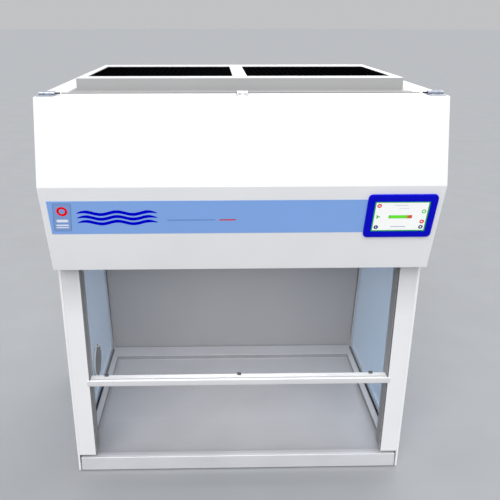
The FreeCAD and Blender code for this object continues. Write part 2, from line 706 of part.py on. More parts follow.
ring = new_body("PortRing")
port_circle = circle(PORT_Y, PORT_Z, dim("port_radius"))
pad(ring, "OuterFlange", "YZ_Plane", PANE_OUTSIDE - FLANGE_THICK, PANE_OUTSIDE,
    circle(PORT_Y, PORT_Z, PORT_FLANGE))
pad(ring, "Sleeve", "YZ_Plane", PANE_OUTSIDE, PANE_FACE, circle(PORT_Y, PORT_Z, PORT_OUT))
pad(ring, "InnerFlange", "YZ_Plane", PANE_FACE, RING_FACE, circle(PORT_Y, PORT_Z, PORT_FLANGE))
EAR_WALL = 5
EAR_RADIUS = dim("pivot_radius") + EAR_WALL
pad(ring, "PivotEar", "YZ_Plane", PANE_FACE, RING_FACE, circle(PORT_Y, PIVOT_Z, EAR_RADIUS))
pocket(ring, "PortBore", "YZ_Plane", PANE_OUTSIDE - FLANGE_THICK, RING_FACE, port_circle)
pocket(ring, "PivotBore", "YZ_Plane", PANE_FACE, RING_FACE,
       circle(PORT_Y, PIVOT_Z, dim("pivot_radius")))
node("port_ring", ring)

cover = new_body("PortCover")
pad(cover, "Disc", "YZ_Plane", COVER_NEAR, COVER_FAR, circle(PORT_Y, PORT_Z, dim("cover_radius")))
pad(cover, "DiscEar", "YZ_Plane", COVER_NEAR, COVER_FAR, circle(PORT_Y, PIVOT_Z, EAR_RADIUS))
pocket(cover, "DiscPivot", "YZ_Plane", COVER_NEAR, COVER_FAR,
       circle(PORT_Y, PIVOT_Z, dim("pivot_radius") + dim("running_clearance")))
node("port_cover", cover)

pivot_shank = cylinder("PivotShank", "X", dim("pivot_radius"), PANE_FACE, PORT_Y, PIVOT_Z,
                       COVER_FAR + COVER_PLAY - PANE_FACE)
PIVOT_HEAD_INSET = 2
PIVOT_HEAD_HEIGHT = 3
pivot_head = cylinder("PivotHead", "X", EAR_RADIUS - PIVOT_HEAD_INSET, COVER_FAR + COVER_PLAY,
                      PORT_Y, PIVOT_Z, PIVOT_HEAD_HEIGHT)
node("port_pivot_screw", fuse("PortPivotScrew", pivot_shank, pivot_head))

# ---------------------------------------------------------------- sash and its counterweights

pane = box("SashPane", (-SASH_HALF, SASH_HALF), (SASH_Y, SASH_BACK),
           (SASH_BOTTOM, SASH_TOP))
node("sash_glass", pane)

# Extruded sash bar: upright face, lower front cut back, a seat for the pane and a hollow behind.
bar = new_body("SashBar")
BAR_TOP = dim("bar_top")
BAR_BOTTOM = BAR_TOP - dim("bar_height")
BAR_HALF = PILLAR_INSIDE - dim("bar_end_gap")
BAR_BACK = FACE_Y + dim("bar_depth")
BAR_WALL = dim("bar_wall")
bar_section = [(FACE_Y, BAR_TOP), (FACE_Y, BAR_TOP - dim("bar_face")),
               (FACE_Y + dim("bar_chamfer"), BAR_BOTTOM), (BAR_BACK, BAR_BOTTOM),
               (BAR_BACK, BAR_TOP)]
bar_hollow = rectangle(SASH_BACK + BAR_WALL, BAR_BACK - BAR_WALL, BAR_BOTTOM + BAR_WALL,
                       BAR_TOP - BAR_WALL)
pad(bar, "BarSection", "YZ_Plane", -BAR_HALF, BAR_HALF, bar_section, bar_hollow)
pocket(bar, "PaneSeat", "YZ_Plane", -BAR_HALF, BAR_HALF,
       rectangle(SASH_Y, SASH_BACK, SASH_BOTTOM, BAR_TOP))
node("sash_bar", bar)

bumpers = []
for index in (-1, 0, 1):
    middle = (BAR_HALF - dim("bumper_inset")) * index
    bumper = box(f"Bumper{index + 1}",
                 (middle - dim("bumper_width") / 2, middle + dim("bumper_width") / 2),
                 (BAR_BACK - dim("bumper_depth"), BAR_BACK), (BAR_TOP, BAR_TOP + dim("bumper_height")))
    bumpers.append(bumper)
node("sash_bumpers", group("SashBumpers", *bumpers))

hangers = []
sash_runs = []
wraps = []
brackets = []
HANGER_GAP = 1
HANGER_WALL = 4
HANGER_REACH = 6
HANGER_NEAR = PILLAR_INSIDE + SHEET + HANGER_GAP
HANGER_FAR = SASH_CABLE_X + HANGER_WALL
HANGER_FRONT = SASH_Y - HANGER_GAP
HANGER_BACK = CABLE_Y + HANGER_REACH
CHEEK_GAP = 2
CHEEK_REACH = 7
CHEEK_HALF = 15
PLATE_HALF = 24
OVERSHOOT = 1
for word, side in SIDES.items():
    title = word.title()
    block = box(f"HangerBlock{title}", across(side, HANGER_NEAR, HANGER_FAR),
                (HANGER_FRONT, HANGER_BACK), (HANGER_BOTTOM, HANGER_TOP))
    groove = box(f"HangerGroove{title}", across(side, HANGER_NEAR, SASH_HALF),
                 (SASH_Y, SASH_BACK), (HANGER_BOTTOM, HANGER_TOP))
    hangers.append(cut(f"Hanger{title}", block, groove))
    sash_runs.append(cylinder(f"SashRun{title}", "Z", dim("cable_radius"),
                              outward(side, SASH_CABLE_X), CABLE_Y, HANGER_TOP,
                              PULLEY_Z - HANGER_TOP))
    node(f"weight_cable_{word}",
         cylinder(f"WeightRun{title}", "Z", dim("cable_radius"), outward(side, WEIGHT_CABLE_X),
                  CABLE_Y, WEIGHT_TOP, PULLEY_Z - WEIGHT_TOP))
    wrap = doc.addObject("Part::Torus", f"Wrap{title}")
    wrap.setExpression("Radius1", dim("pulley_pitch").formula)
    wrap.setExpression("Radius2", dim("cable_radius").formula)
    wrap.Angle3 = 180
    place(wrap, outward(side, PULLEY_X), CABLE_Y, PULLEY_Z, Rotation(Vector(1, 0, 0), 90))
    wraps.append(wrap)

    wheel = cylinder(f"Wheel{title}", "Y", dim("pulley_radius"), outward(side, PULLEY_X),
                     CABLE_Y - dim("pulley_width") / 2, PULLEY_Z, dim("pulley_width"))
    rim_groove = doc.addObject("Part::Torus", f"RimGroove{title}")
    groove_radius = dim("cable_radius") + dim("groove_clearance")
    rim_groove.setExpression("Radius1", dim("pulley_pitch").formula)
    rim_groove.setExpression("Radius2", groove_radius.formula)
    place(rim_groove, outward(side, PULLEY_X), CABLE_Y, PULLEY_Z, TURN_TO["Y"])
    throat_half = dim("pulley_radius") + OVERSHOOT
    throat = box(f"ThroatStock{title}", (outward(side, PULLEY_X) - throat_half,
                                         outward(side, PULLEY_X) + throat_half),
                 (CABLE_Y - groove_radius, CABLE_Y + groove_radius),
                 (PULLEY_Z - throat_half, PULLEY_Z + throat_half))
    throat_core = cylinder(f"ThroatCore{title}", "Y", dim("pulley_pitch"),
                           outward(side, PULLEY_X), CABLE_Y - dim("pulley_width"), PULLEY_Z,
                           dim("pulley_width") * 2)
    open_groove = fuse(f"OpenGroove{title}", rim_groove,
                       cut(f"Throat{title}", throat, throat_core))
    axle_bore = cylinder(f"AxleBore{title}", "Y", dim("axle_radius") + dim("running_clearance"),
                         outward(side, PULLEY_X), CABLE_Y - dim("pulley_width"), PULLEY_Z,
                         dim("pulley_width") * 2)
    grooved = cut(f"Grooved{title}", wheel, open_groove)
    node(f"pulley_{word}", cut(f"Pulley{title}", grooved, axle_bore))

    CHEEK_NEAR = dim("pulley_width") / 2 + CHEEK_GAP
    CHEEK_FAR = CHEEK_NEAR + SHEET
    cheek_x = across(side, PULLEY_X - CHEEK_REACH, PANEL_INSIDE - SHEET)
    cheek_z = (PULLEY_Z - CHEEK_HALF, PULLEY_Z + CHEEK_HALF)
    pieces = [
        box(f"FrontCheek{title}", cheek_x, (CABLE_Y - CHEEK_FAR, CABLE_Y - CHEEK_NEAR), cheek_z),
        box(f"RearCheek{title}", cheek_x, (CABLE_Y + CHEEK_NEAR, CABLE_Y + CHEEK_FAR), cheek_z),
        box(f"WallPlate{title}", across(side, PANEL_INSIDE - 2 * SHEET, PANEL_INSIDE - SHEET),
            (CABLE_Y - CHEEK_FAR, CABLE_Y + CHEEK_FAR), (PULLEY_Z - PLATE_HALF, PULLEY_Z + PLATE_HALF)),
        cylinder(f"Axle{title}", "Y", dim("axle_radius"), outward(side, PULLEY_X),
                 CABLE_Y - CHEEK_FAR, PULLEY_Z, CHEEK_FAR * 2),
    ]
    brackets.append(fuse(f"PulleyBracket{title}", *pieces))

    weight = new_body(f"Counterweight{title}")
    weight_x = (outward(side, WEIGHT_CABLE_X) - dim("weight_width") / 2,
                outward(side, WEIGHT_CABLE_X) + dim("weight_width") / 2)
    weight_y = (CABLE_Y - dim("weight_depth") / 2, CABLE_Y + dim("weight_depth") / 2)
    pad(weight, f"WeightBlock{title}", "XY_Plane", dim("weight_bottom"), WEIGHT_TOP,
        rectangle(*weight_x, *weight_y))
    fillet(weight, f"WeightEdges{title}", SHEET, upright)
    node(f"counterweight_{word}", weight)

node("sash_hangers", group("SashHangers", *hangers))
node("sash_cables", group("SashCables", *sash_runs))
node("cable_wraps", group("CableWraps", *wraps))
node("pulley_brackets", group("PulleyBrackets", *brackets))

# ---------------------------------------------------------------- front cover and its display

fascia = new_body("FasciaCover")
cover_outline = [(NOSE_Y + dim("top_setback"), ROOF_Z), (NOSE_Y, NOSE_Z),
                 (NOSE_Y + dim("bottom_setback"), HEAD_Z), (COVER_BACK, HEAD_Z),
                 (COVER_BACK, ROOF_UNDER - dim("cover_gap")),
                 (COVER_REAR, ROOF_UNDER - dim("cover_gap")), (COVER_REAR, ROOF_Z)]
pad(fascia, "CoverBlock", "YZ_Plane", -HALF_WIDTH, HALF_WIDTH, cover_outline)
TOP_RUN = dim("top_setback") / dim("nose_drop")
TOP_SKIN = SHEET * root(1 + TOP_RUN * TOP_RUN)
BAND_RUN = dim("bottom_setback") / BAND_DROP
BAND_SKIN = SHEET * root(1 + BAND_RUN * BAND_RUN)
NOSE_SKIN_Z = NOSE_Z + (BAND_SKIN - TOP_SKIN) / (TOP_RUN + BAND_RUN)
NOSE_SKIN_Y = NOSE_Y + TOP_SKIN + (NOSE_SKIN_Z - NOSE_Z) * TOP_RUN
OPEN_BACK = 20
BEHIND_COVER = COVER_BACK + OPEN_BACK
cover_hollow = [(NOSE_Y + dim("top_setback") + TOP_SKIN - SHEET * TOP_RUN, ROOF_UNDER),
                (NOSE_SKIN_Y, NOSE_SKIN_Z),
                (NOSE_Y + dim("bottom_setback") + BAND_SKIN - SHEET * BAND_RUN, HEAD_Z + SHEET),
                (BEHIND_COVER, HEAD_Z + SHEET), (BEHIND_COVER, ROOF_UNDER)]
pocket(fascia, "CoverHollow", "YZ_Plane", SHEET - HALF_WIDTH, HALF_WIDTH - SHEET, cover_hollow)
fillet(fascia, "NoseFold", SHEET,
       lambda edge: sideways(edge) and (near(edge.YMin, NOSE_Y)
                                        or near(edge.YMin, NOSE_Y + dim("top_setback"))
                                        or (near(edge.YMin, NOSE_Y + dim("bottom_setback"))
                                            and near(edge.ZMin, HEAD_Z))))

# The display's pieces lie in the plane of the lower band: local Z points out of it.
BAND_ANGLE = f"90 deg + atan({BAND_RUN.formula})"
BEZEL_X = HALF_WIDTH - dim("bezel_inset")
BEZEL_Y, BEZEL_Z = band_point(dim("bezel_drop"), Size.of(0))
BOX_HALF_WIDTH = dim("bezel_width") / 2 - dim("display_box_margin")
BOX_HALF_TALL = dim("bezel_tall") / 2 - dim("display_box_margin")
BOX_CLEAR = 1


def lie_on_band(item, prefix):
    """Turns and moves a placement property so that its XY plane lies on the lower band."""
    angle = 90 + math.degrees(math.atan(BAND_RUN.value))
    setattr(item, prefix, Placement(Vector(0, 0, 0), Rotation(Vector(1, 0, 0), angle)))
    item.setExpression(f"{prefix}.Rotation.Angle", BAND_ANGLE)
    for axis, size in zip("xyz", (BEZEL_X, BEZEL_Y, BEZEL_Z)):
        item.setExpression(f"{prefix}.Base.{axis}", size.formula)


display_hole = fascia.newObject("PartDesign::Pocket", "DisplayHole")
hole_sketch = new_sketch(fascia, "DisplayHoleSketch", "XY_Plane", 0,
                         [rectangle(-BOX_HALF_WIDTH - BOX_CLEAR, BOX_HALF_WIDTH + BOX_CLEAR,
                                    -BOX_HALF_TALL - BOX_CLEAR, BOX_HALF_TALL + BOX_CLEAR)])
lie_on_band(hole_sketch, "AttachmentOffset")
display_hole.Profile = hole_sketch
display_hole.setExpression("Length", (SHEET * 2).formula)
volume_before = fascia.Shape.Volume
display_hole.Midplane = True
doc.recompute()
if fascia.Shape.Volume > volume_before - TINY:
    raise ValueError("the display's hole cut nothing")
node("fascia_cover", fascia)

strip = new_body("LabelStrip")
STRIP_THICK = dim("strip_thickness")
strip_section = [band_point(dim("strip_start"), Size.of(0)),
                 band_point(dim("strip_end"), Size.of(0)),
                 band_point(dim("strip_end"), STRIP_THICK),
                 band_point(dim("strip_start"), STRIP_THICK)]
pad(strip, "StripPlate", "YZ_Plane", dim("strip_inset") - HALF_WIDTH, BEZEL_X - dim("bezel_width") / 2,
    strip_section)
node("label_strip", strip)

bezel = new_body("DisplayBezel")
BEZEL_HALF = dim("bezel_width") / 2
BEZEL_TALL = dim("bezel_tall") / 2
SCREEN_HALF = dim("screen_width") / 2
SCREEN_TALL = dim("screen_tall") / 2
SCREEN_SEAT = 1.5
BEZEL_TOP = dim("bezel_thickness")
SCREEN_BACK = BEZEL_TOP - SCREEN_SEAT - dim("screen_thickness")
pad(bezel, "BezelPlate", "XY_Plane", 0, BEZEL_TOP,
    rectangle(-BEZEL_HALF, BEZEL_HALF, -BEZEL_TALL, BEZEL_TALL))
pocket(bezel, "ScreenWindow", "XY_Plane", 0, BEZEL_TOP,
       rectangle(-SCREEN_HALF, SCREEN_HALF, -SCREEN_TALL, SCREEN_TALL))
fillet(bezel, "BezelCorners", dim("bezel_corner"),
       lambda edge: upright(edge) and near(abs(edge.XMin), BEZEL_HALF))
BEZEL_EDGE = 1.5
fillet(bezel, "BezelEdge", BEZEL_EDGE,
       lambda edge: near(edge.ZMin, BEZEL_TOP) and near(edge.ZMax, BEZEL_TOP)
       and max(edge.XMax, -edge.XMin) > SCREEN_HALF.value + BEZEL_EDGE)
lie_on_band(bezel, "Placement")
node("display_bezel", bezel)

screen = new_body("DisplayScreen")
pad(screen, "ScreenPlate", "XY_Plane", SCREEN_BACK, SCREEN_BACK + dim("screen_thickness"),
    rectangle(-SCREEN_HALF, SCREEN_HALF, -SCREEN_TALL, SCREEN_TALL))
lie_on_band(screen, "Placement")
node("display_screen", screen)

display_box = new_body("DisplayHousing")
pad(display_box, "DisplayBlock", "XY_Plane", -dim("display_box_depth"), 0,
    rectangle(-BOX_HALF_WIDTH, BOX_HALF_WIDTH, -BOX_HALF_TALL, BOX_HALF_TALL))
pocket(display_box, "DisplayHollow", "XY_Plane", SHEET - dim("display_box_depth"), 0,
       rectangle(SHEET - BOX_HALF_WIDTH, BOX_HALF_WIDTH - SHEET, SHEET - BOX_HALF_TALL,
                 BOX_HALF_TALL - SHEET))
lie_on_band(display_box, "Placement")
node("display_housing", display_box)

# ---------------------------------------------------------------- hinges of the front cover

roof_leaves = []
cover_leaves = []
pins = []
KNUCKLE_SHARE = 3
OUTER_HINGE = HALF_WIDTH - dim("hinge_inset") - dim("hinge_length")
CENTRE_LENGTH = dim("centre_hinge")
CENTRE_PROUD = dim("centre_proud")
HINGES = [
    ("Left", -(OUTER_HINGE + dim("hinge_length")), dim("hinge_length"), 0, dim("pin_proud")),
    ("Centre", -(CENTRE_LENGTH / 2), CENTRE_LENGTH, CENTRE_PROUD, CENTRE_PROUD),
    ("Right", OUTER_HINGE, dim("hinge_length"), dim("pin_proud"), 0),
]


def knuckle(name, low, high):
    """Bored barrel of a hinge between two places along X."""
    stock = cylinder(name + "Barrel", "X", dim("barrel_radius"), low, HINGE_Y, HINGE_Z, high - low)
    bore = cylinder(name + "Bore", "X", dim("hinge_pin_radius") + dim("running_clearance"),
                    low - OVERSHOOT, HINGE_Y, HINGE_Z, high - low + 2 * OVERSHOOT)
    return stock, bore


def leaf(name, low, high, y_range, knuckles):
    """Flat leaf joined to its knuckles, with the pin's bore cut right through."""
    pieces = [box(name + "Plate", (low, high), y_range, (ROOF_Z, ROOF_Z + SHEET))]
    bores = []
    for index, (start, end) in enumerate(knuckles):
        stock, bore = knuckle(f"{name}Knuckle{index}", start, end)
        foot = box(f"{name}Foot{index}", (start, end),
                   (min(y_range[0], HINGE_Y, key=lambda size: size.value),
                    max(y_range[1], HINGE_Y, key=lambda size: size.value)),
                   (ROOF_Z, ROOF_Z + SHEET))
        pieces += [stock, foot]
        bores.append(bore)
    tools = bores[0] if len(bores) == 1 else fuse(name + "Bores", *bores)
    return cut(name, fuse(name + "Stock", *pieces), tools)


LEAF_CLEAR = 1
LEAF_GAP = dim("barrel_radius") + LEAF_CLEAR
for word, start, length, proud_low, proud_high in HINGES:
    end = start + length
    first_joint = start + length / KNUCKLE_SHARE
    second_joint = end - length / KNUCKLE_SHARE
    gap = dim("knuckle_gap")
    roof_leaves.append(leaf(f"RoofLeaf{word}", start, end,
                            (HINGE_Y + LEAF_GAP, HINGE_Y + dim("hinge_leaf")),
                            [(start, first_joint - gap), (second_joint + gap, end)]))
    cover_leaves.append(leaf(f"CoverLeaf{word}", start, end,
                             (HINGE_Y - dim("hinge_leaf"), HINGE_Y - LEAF_GAP),
                             [(first_joint, second_joint)]))
    pins.append(cylinder(f"HingePin{word}", "X", dim("hinge_pin_radius"), start - proud_low,
                         HINGE_Y, HINGE_Z, length + proud_low + proud_high))
node("hinge_roof_leaves", group("RoofLeaves", *roof_leaves))
node("hinge_cover_leaves", group("CoverLeaves", *cover_leaves))
node("hinge_pins", group("HingePins", *pins))

# ---------------------------------------------------------------- head: bulkhead, ceiling, lamp

CEILING_FRONT = BULKHEAD_Y + SHEET
PILLAR_CLEAR = 1
BULKHEAD_HALF = PILLAR_INSIDE - PILLAR_CLEAR
node("front_bulkhead", box("FrontBulkhead", (-BULKHEAD_HALF, BULKHEAD_HALF),
                           (BULKHEAD_Y, CEILING_FRONT), (HEAD_Z, ROOF_UNDER)))


def head_plate_outline():
    """Plan of a plate that fills the head and is notched round both pillars."""
    notch_x = BULKHEAD_HALF
    notch_y = PILLAR_BACK + PILLAR_CLEAR
    return [(-notch_x, CEILING_FRONT), (notch_x, CEILING_FRONT), (notch_x, notch_y),
            (PANEL_INSIDE, notch_y), (PANEL_INSIDE, BACK_INSIDE), (-PANEL_INSIDE, BACK_INSIDE),
            (-PANEL_INSIDE, notch_y), (-notch_x, notch_y)]


INTAKE_HALF = PANEL_INSIDE - dim("intake_inset")
INTAKE_Y = (FACE_Y + dim("intake_setback"), BACK_INSIDE - dim("intake_margin"))
LAMP_HALF = PANEL_INSIDE - dim("lamp_inset")
LAMP_FRONT = FACE_Y + dim("lamp_setback")
LAMP_BACK = LAMP_FRONT + dim("lamp_depth")
ceiling = new_body("ChamberCeiling")
pad(ceiling, "CeilingPlate", "XY_Plane", HEAD_Z, CEILING_TOP, head_plate_outline())
for word, side in SIDES.items():
    pad(ceiling, f"CeilingFlange{word.title()}", "XY_Plane", CEILING_TOP,
        CEILING_TOP + dim("ceiling_flange"),
        rectangle(*across(side, PANEL_INSIDE - SHEET, PANEL_INSIDE),
                  PILLAR_BACK + PILLAR_CLEAR, BACK_INSIDE))
pocket(ceiling, "Intake", "XY_Plane", HEAD_Z, CEILING_TOP,
       rectangle(-INTAKE_HALF, INTAKE_HALF, *INTAKE_Y))
pocket(ceiling, "LampHole", "XY_Plane", HEAD_Z, CEILING_TOP,
       rectangle(-LAMP_HALF, LAMP_HALF, LAMP_FRONT, LAMP_BACK))
node("chamber_ceiling", ceiling)

PRE_LAP = dim("prefilter_lap")
PREFILTER_TOP = CEILING_TOP + dim("prefilter_height")
pre_x = (-INTAKE_HALF - PRE_LAP, INTAKE_HALF + PRE_LAP)
pre_y = (INTAKE_Y[0] - PRE_LAP, INTAKE_Y[1] + PRE_LAP)
node("prefilter", box("Prefilter", pre_x, pre_y, (CEILING_TOP, PREFILTER_TOP)))
frame = new_body("PrefilterFrame")
pad(frame, "FrameBlock", "XY_Plane", CEILING_TOP, PREFILTER_TOP + SHEET,
    rectangle(pre_x[0] - SHEET, pre_x[1] + SHEET, pre_y[0] - SHEET, pre_y[1] + SHEET))
pocket(frame, "FrameHollow", "XY_Plane", CEILING_TOP, PREFILTER_TOP, rectangle(*pre_x, *pre_y))
pocket(frame, "FrameWindow", "XY_Plane", PREFILTER_TOP, PREFILTER_TOP + SHEET,
       rectangle(-INTAKE_HALF, INTAKE_HALF, *INTAKE_Y))
node("prefilter_frame", frame)

LAMP_LAP = dim("lamp_lap")
LAMP_CLEAR = 0.5
DIFFUSER_TOP = CEILING_TOP + SHEET
lamp_x = (-LAMP_HALF - LAMP_LAP, LAMP_HALF + LAMP_LAP)
lamp_y = (LAMP_FRONT - LAMP_LAP, LAMP_BACK + LAMP_LAP)
diffuser = new_body("LampDiffuser")
pad(diffuser, "DiffuserPane", "XY_Plane", HEAD_Z, CEILING_TOP,
    rectangle(LAMP_CLEAR - LAMP_HALF, LAMP_HALF - LAMP_CLEAR, LAMP_FRONT + LAMP_CLEAR,
              LAMP_BACK - LAMP_CLEAR))
pad(diffuser, "DiffuserLip", "XY_Plane", CEILING_TOP, DIFFUSER_TOP, rectangle(*lamp_x, *lamp_y))
node("lamp_diffuser", diffuser)
lamp = new_body("LampHousing")
pad(lamp, "LampBlock", "XY_Plane", DIFFUSER_TOP, CEILING_TOP + dim("lamp_height"),
    rectangle(*lamp_x, *lamp_y))
pocket(lamp, "LampHollow", "XY_Plane", DIFFUSER_TOP, CEILING_TOP + dim("lamp_height") - SHEET,
       rectangle(lamp_x[0] + SHEET, lamp_x[1] - SHEET, lamp_y[0] + SHEET, lamp_y[1] - SHEET))
node("lamp_housing", lamp)

# ---------------------------------------------------------------- head: fans

FAN_X = PANEL_INSIDE - dim("fan_inset")
FAN_Y = (FACE_Y + BACK_INSIDE) / 2 + dim("fan_shift")
PLATE_HOLE = dim("throat_radius") + 16
RING_RIM = 20
FLARE_INSIDE = 6
EYE_ENTRY = 1
HUB_LENGTH = 22
BLADE_INSET = 6
BLADE_START = Size.of(-12)
BLADE_END = Size.of(24)
BOSS_LENGTH = 3
fan_plate = new_body("FanPlate")
pad(fan_plate, "FanSheet", "XY_Plane", FAN_PLATE_Z, FAN_PLATE_TOP,
    head_plate_outline())
pocket(fan_plate, "FanHoles", "XY_Plane", FAN_PLATE_Z, FAN_PLATE_TOP,
       circle(-FAN_X, FAN_Y, PLATE_HOLE), circle(FAN_X, FAN_Y, PLATE_HOLE))
node("fan_plate", fan_plate)


def inlet_ring(name):
    """Flared ring that leads the air into the impeller's eye, made round the Z axis."""
    body = new_body(name)
    throat = dim("throat_radius")
    flare_top = IMPELLER_Z + EYE_ENTRY
    section = [(PLATE_HOLE + RING_RIM, FAN_PLATE_TOP), (PLATE_HOLE + RING_RIM, FAN_PLATE_TOP + SHEET),
               (PLATE_HOLE - FLARE_INSIDE + SHEET, FAN_PLATE_TOP + SHEET), (throat + SHEET, flare_top),
               (throat, flare_top), (PLATE_HOLE - FLARE_INSIDE, FAN_PLATE_TOP)]
    feature = body.newObject("PartDesign::Revolution", name + "Flare")
    feature.Profile = new_sketch(body, name + "Sketch", "XZ_Plane", 0, [section])
    feature.ReferenceAxis = (feature.Profile[0], ["V_Axis"])
    feature.Angle = 360
    doc.recompute()
    return body


def impeller(name):
    """Backward-leaning blades between a bored top disc and an eye ring, round the Z axis."""
    body = new_body(name)
    pad(body, name + "Disc", "XY_Plane", IMPELLER_TOP - SHEET, IMPELLER_TOP,
        circle(0, 0, dim("fan_radius")))
    pad(body, name + "Hub", "XY_Plane", IMPELLER_TOP - HUB_LENGTH, IMPELLER_TOP - SHEET,
        circle(0, 0, dim("hub_radius")))
    inner = dim("fan_eye") - BLADE_INSET
    outer = dim("fan_radius") - BLADE_INSET
    blade = [(inner, BLADE_START), (inner, BLADE_START + SHEET), (outer, BLADE_END + SHEET),
             (outer, BLADE_END)]
    blade_pad = pad(body, name + "Blade", "XY_Plane", IMPELLER_Z + SHEET, IMPELLER_TOP - SHEET,
                    blade)
    pattern = body.newObject("PartDesign::PolarPattern", name + "Blades")
    pattern.Originals = [blade_pad]
    pattern.Axis = (blade_pad.Profile[0], ["N_Axis"])
    pattern.Angle = 360
    pattern.setExpression("Occurrences", dim("blade_count").formula)
    body.Tip = pattern
    doc.recompute()
    pad(body, name + "EyeRing", "XY_Plane", IMPELLER_Z, IMPELLER_Z + SHEET,
        circle(0, 0, dim("fan_radius")), circle(0, 0, dim("fan_eye")))
    pocket(body, name + "ShaftBore", "XY_Plane", IMPELLER_TOP - HUB_LENGTH, IMPELLER_TOP,
           circle(0, 0, dim("shaft_radius") + dim("running_clearance")))
    return body


def motor(name):
    """Motor can with its shaft hanging down into the impeller's hub, round the Z axis."""
    body = new_body(name)
    pad(body, name + "Can", "XY_Plane", MOTOR_Z, MOTOR_TOP, circle(0, 0, dim("motor_radius")))
    pad(body, name + "Boss", "XY_Plane", MOTOR_Z - BOSS_LENGTH, MOTOR_Z, circle(0, 0, dim("hub_radius")))
    pad(body, name + "Shaft", "XY_Plane", IMPELLER_TOP - HUB_LENGTH, MOTOR_Z - BOSS_LENGTH,
        circle(0, 0, dim("shaft_radius")))
    fillet(body, name + "CanEdges", SHEET * 2,
           lambda edge: near(edge.XLength, dim("motor_radius") * 2) and edge.ZLength < TINY)
    return body


def bridge(name, middle):
    """Bridge over the impeller that carries the motor."""
    half = dim("bridge_half_width")
    thick = dim("bridge_sheet")
    depth = (FAN_Y - dim("bridge_depth") / 2, FAN_Y + dim("bridge_depth") / 2)
    body = new_body(name)
    top = MOTOR_TOP + thick
    arch = [(middle - half, FAN_PLATE_TOP), (middle - half, top), (middle + half, top),
            (middle + half, FAN_PLATE_TOP), (middle + half - thick, FAN_PLATE_TOP),
            (middle + half - thick, MOTOR_TOP), (middle - half + thick, MOTOR_TOP),
            (middle - half + thick, FAN_PLATE_TOP)]
    pad(body, name + "Arch", "XZ_Plane", *depth, arch)
    return body


rings = []
bridges = []
for word, side in SIDES.items():
    title = word.title()
    fan_x = outward(side, FAN_X)
    ring_body = inlet_ring(f"InletRing{title}")
    place(ring_body, fan_x, FAN_Y, 0)
    rings.append(ring_body)
    bridges.append(bridge(f"MotorBridge{title}", fan_x))
    impeller_body = impeller(f"Impeller{title}")
    place(impeller_body, fan_x, FAN_Y, 0)
    node(f"fan_impeller_{word}", impeller_body)
    motor_body = motor(f"Motor{title}")
    place(motor_body, fan_x, FAN_Y, 0)
    node(f"fan_motor_{word}", motor_body)
node("fan_inlet_rings", group("FanInletRings", *rings))
node("fan_bridges", group("FanBridges", *bridges))

# ---------------------------------------------------------------- head: filters, roof and collar

FILTER_LAP = dim("filter_lap")
FILTER_Y = (OUTLET_Y[0] - FILTER_LAP, OUTLET_Y[1] + FILTER_LAP)


def filter_x(side, shrink):
    """X range of a carbon filter, made smaller all round by `shrink`."""
    return across(side, OUTLET_INNER - FILTER_LAP + shrink, OUTLET_OUTER + FILTER_LAP - shrink)


SEAT = 14
shelf = new_body("FilterShelf")
pad(shelf, "ShelfPlate", "XY_Plane", SHELF_Z, SHELF_TOP, head_plate_outline())
pocket(shelf, "ShelfOpenings", "XY_Plane", SHELF_Z, SHELF_TOP,
       *[rectangle(*filter_x(side, SEAT), FILTER_Y[0] + SEAT, FILTER_Y[1] - SEAT)
         for side in SIDES.values()])
node("filter_shelf", shelf)

FILTER_RECESS = 4
for word, side in SIDES.items():
    title = word.title()
    cartridge = new_body(f"CarbonFilter{title}")
    pad(cartridge, f"Cartridge{title}", "XY_Plane", SHELF_TOP, MESH_Z,
        rectangle(*filter_x(side, Size.of(0)), *FILTER_Y))
    pocket(cartridge, f"CartridgeTop{title}", "XY_Plane", MESH_Z - FILTER_RECESS, MESH_Z,
           rectangle(*filter_x(side, SHEET), FILTER_Y[0] + SHEET, FILTER_Y[1] - SHEET))
    node(f"carbon_filter_{word}", cartridge)

# Roof panel and the folded exhaust collar that stands on it.
ROOF_LEDGE = 10
HOLE_MARGIN = 4
ROOF_HOLE = COLLAR_HALF - ROOF_LEDGE
roof = new_body("RoofPanel")
pad(roof, "RoofPlate", "XY_Plane", ROOF_UNDER, ROOF_Z,
    rectangle(-HALF_WIDTH, HALF_WIDTH, ROOF_FRONT, BACK_Y))
pocket(roof, "RoofOpening", "XY_Plane", ROOF_UNDER, ROOF_Z,
       rectangle(-ROOF_HOLE, ROOF_HOLE, FILTER_Y[0] - HOLE_MARGIN, FILTER_Y[1] + HOLE_MARGIN))
node("roof_panel", roof)

collar = new_body("ExhaustCollar")
FOOT_SHEET = SHEET * 0.6
pad(collar, "CollarBlock", "XY_Plane", ROOF_Z, COLLAR_Z,
    rectangle(-COLLAR_HALF, COLLAR_HALF, *COLLAR_Y))
pad(collar, "CollarFoot", "XY_Plane", ROOF_Z, ROOF_Z + FOOT_SHEET,
    rectangle(-COLLAR_HALF - dim("flange_side"), COLLAR_HALF + dim("flange_side"),
              COLLAR_Y[0] - dim("flange_front"), COLLAR_Y[1] + dim("flange_side")))
pocket(collar, "CollarHollow", "XY_Plane", ROOF_Z, COLLAR_UNDER,
       rectangle(SHEET - COLLAR_HALF, COLLAR_HALF - SHEET, COLLAR_Y[0] + SHEET, COLLAR_Y[1] - SHEET))
pocket(collar, "CollarOutlets", "XY_Plane", COLLAR_UNDER, COLLAR_Z,
       *[rectangle(*across(side, OUTLET_INNER, OUTLET_OUTER), *OUTLET_Y)
         for side in SIDES.values()])
node("exhaust_collar", collar)

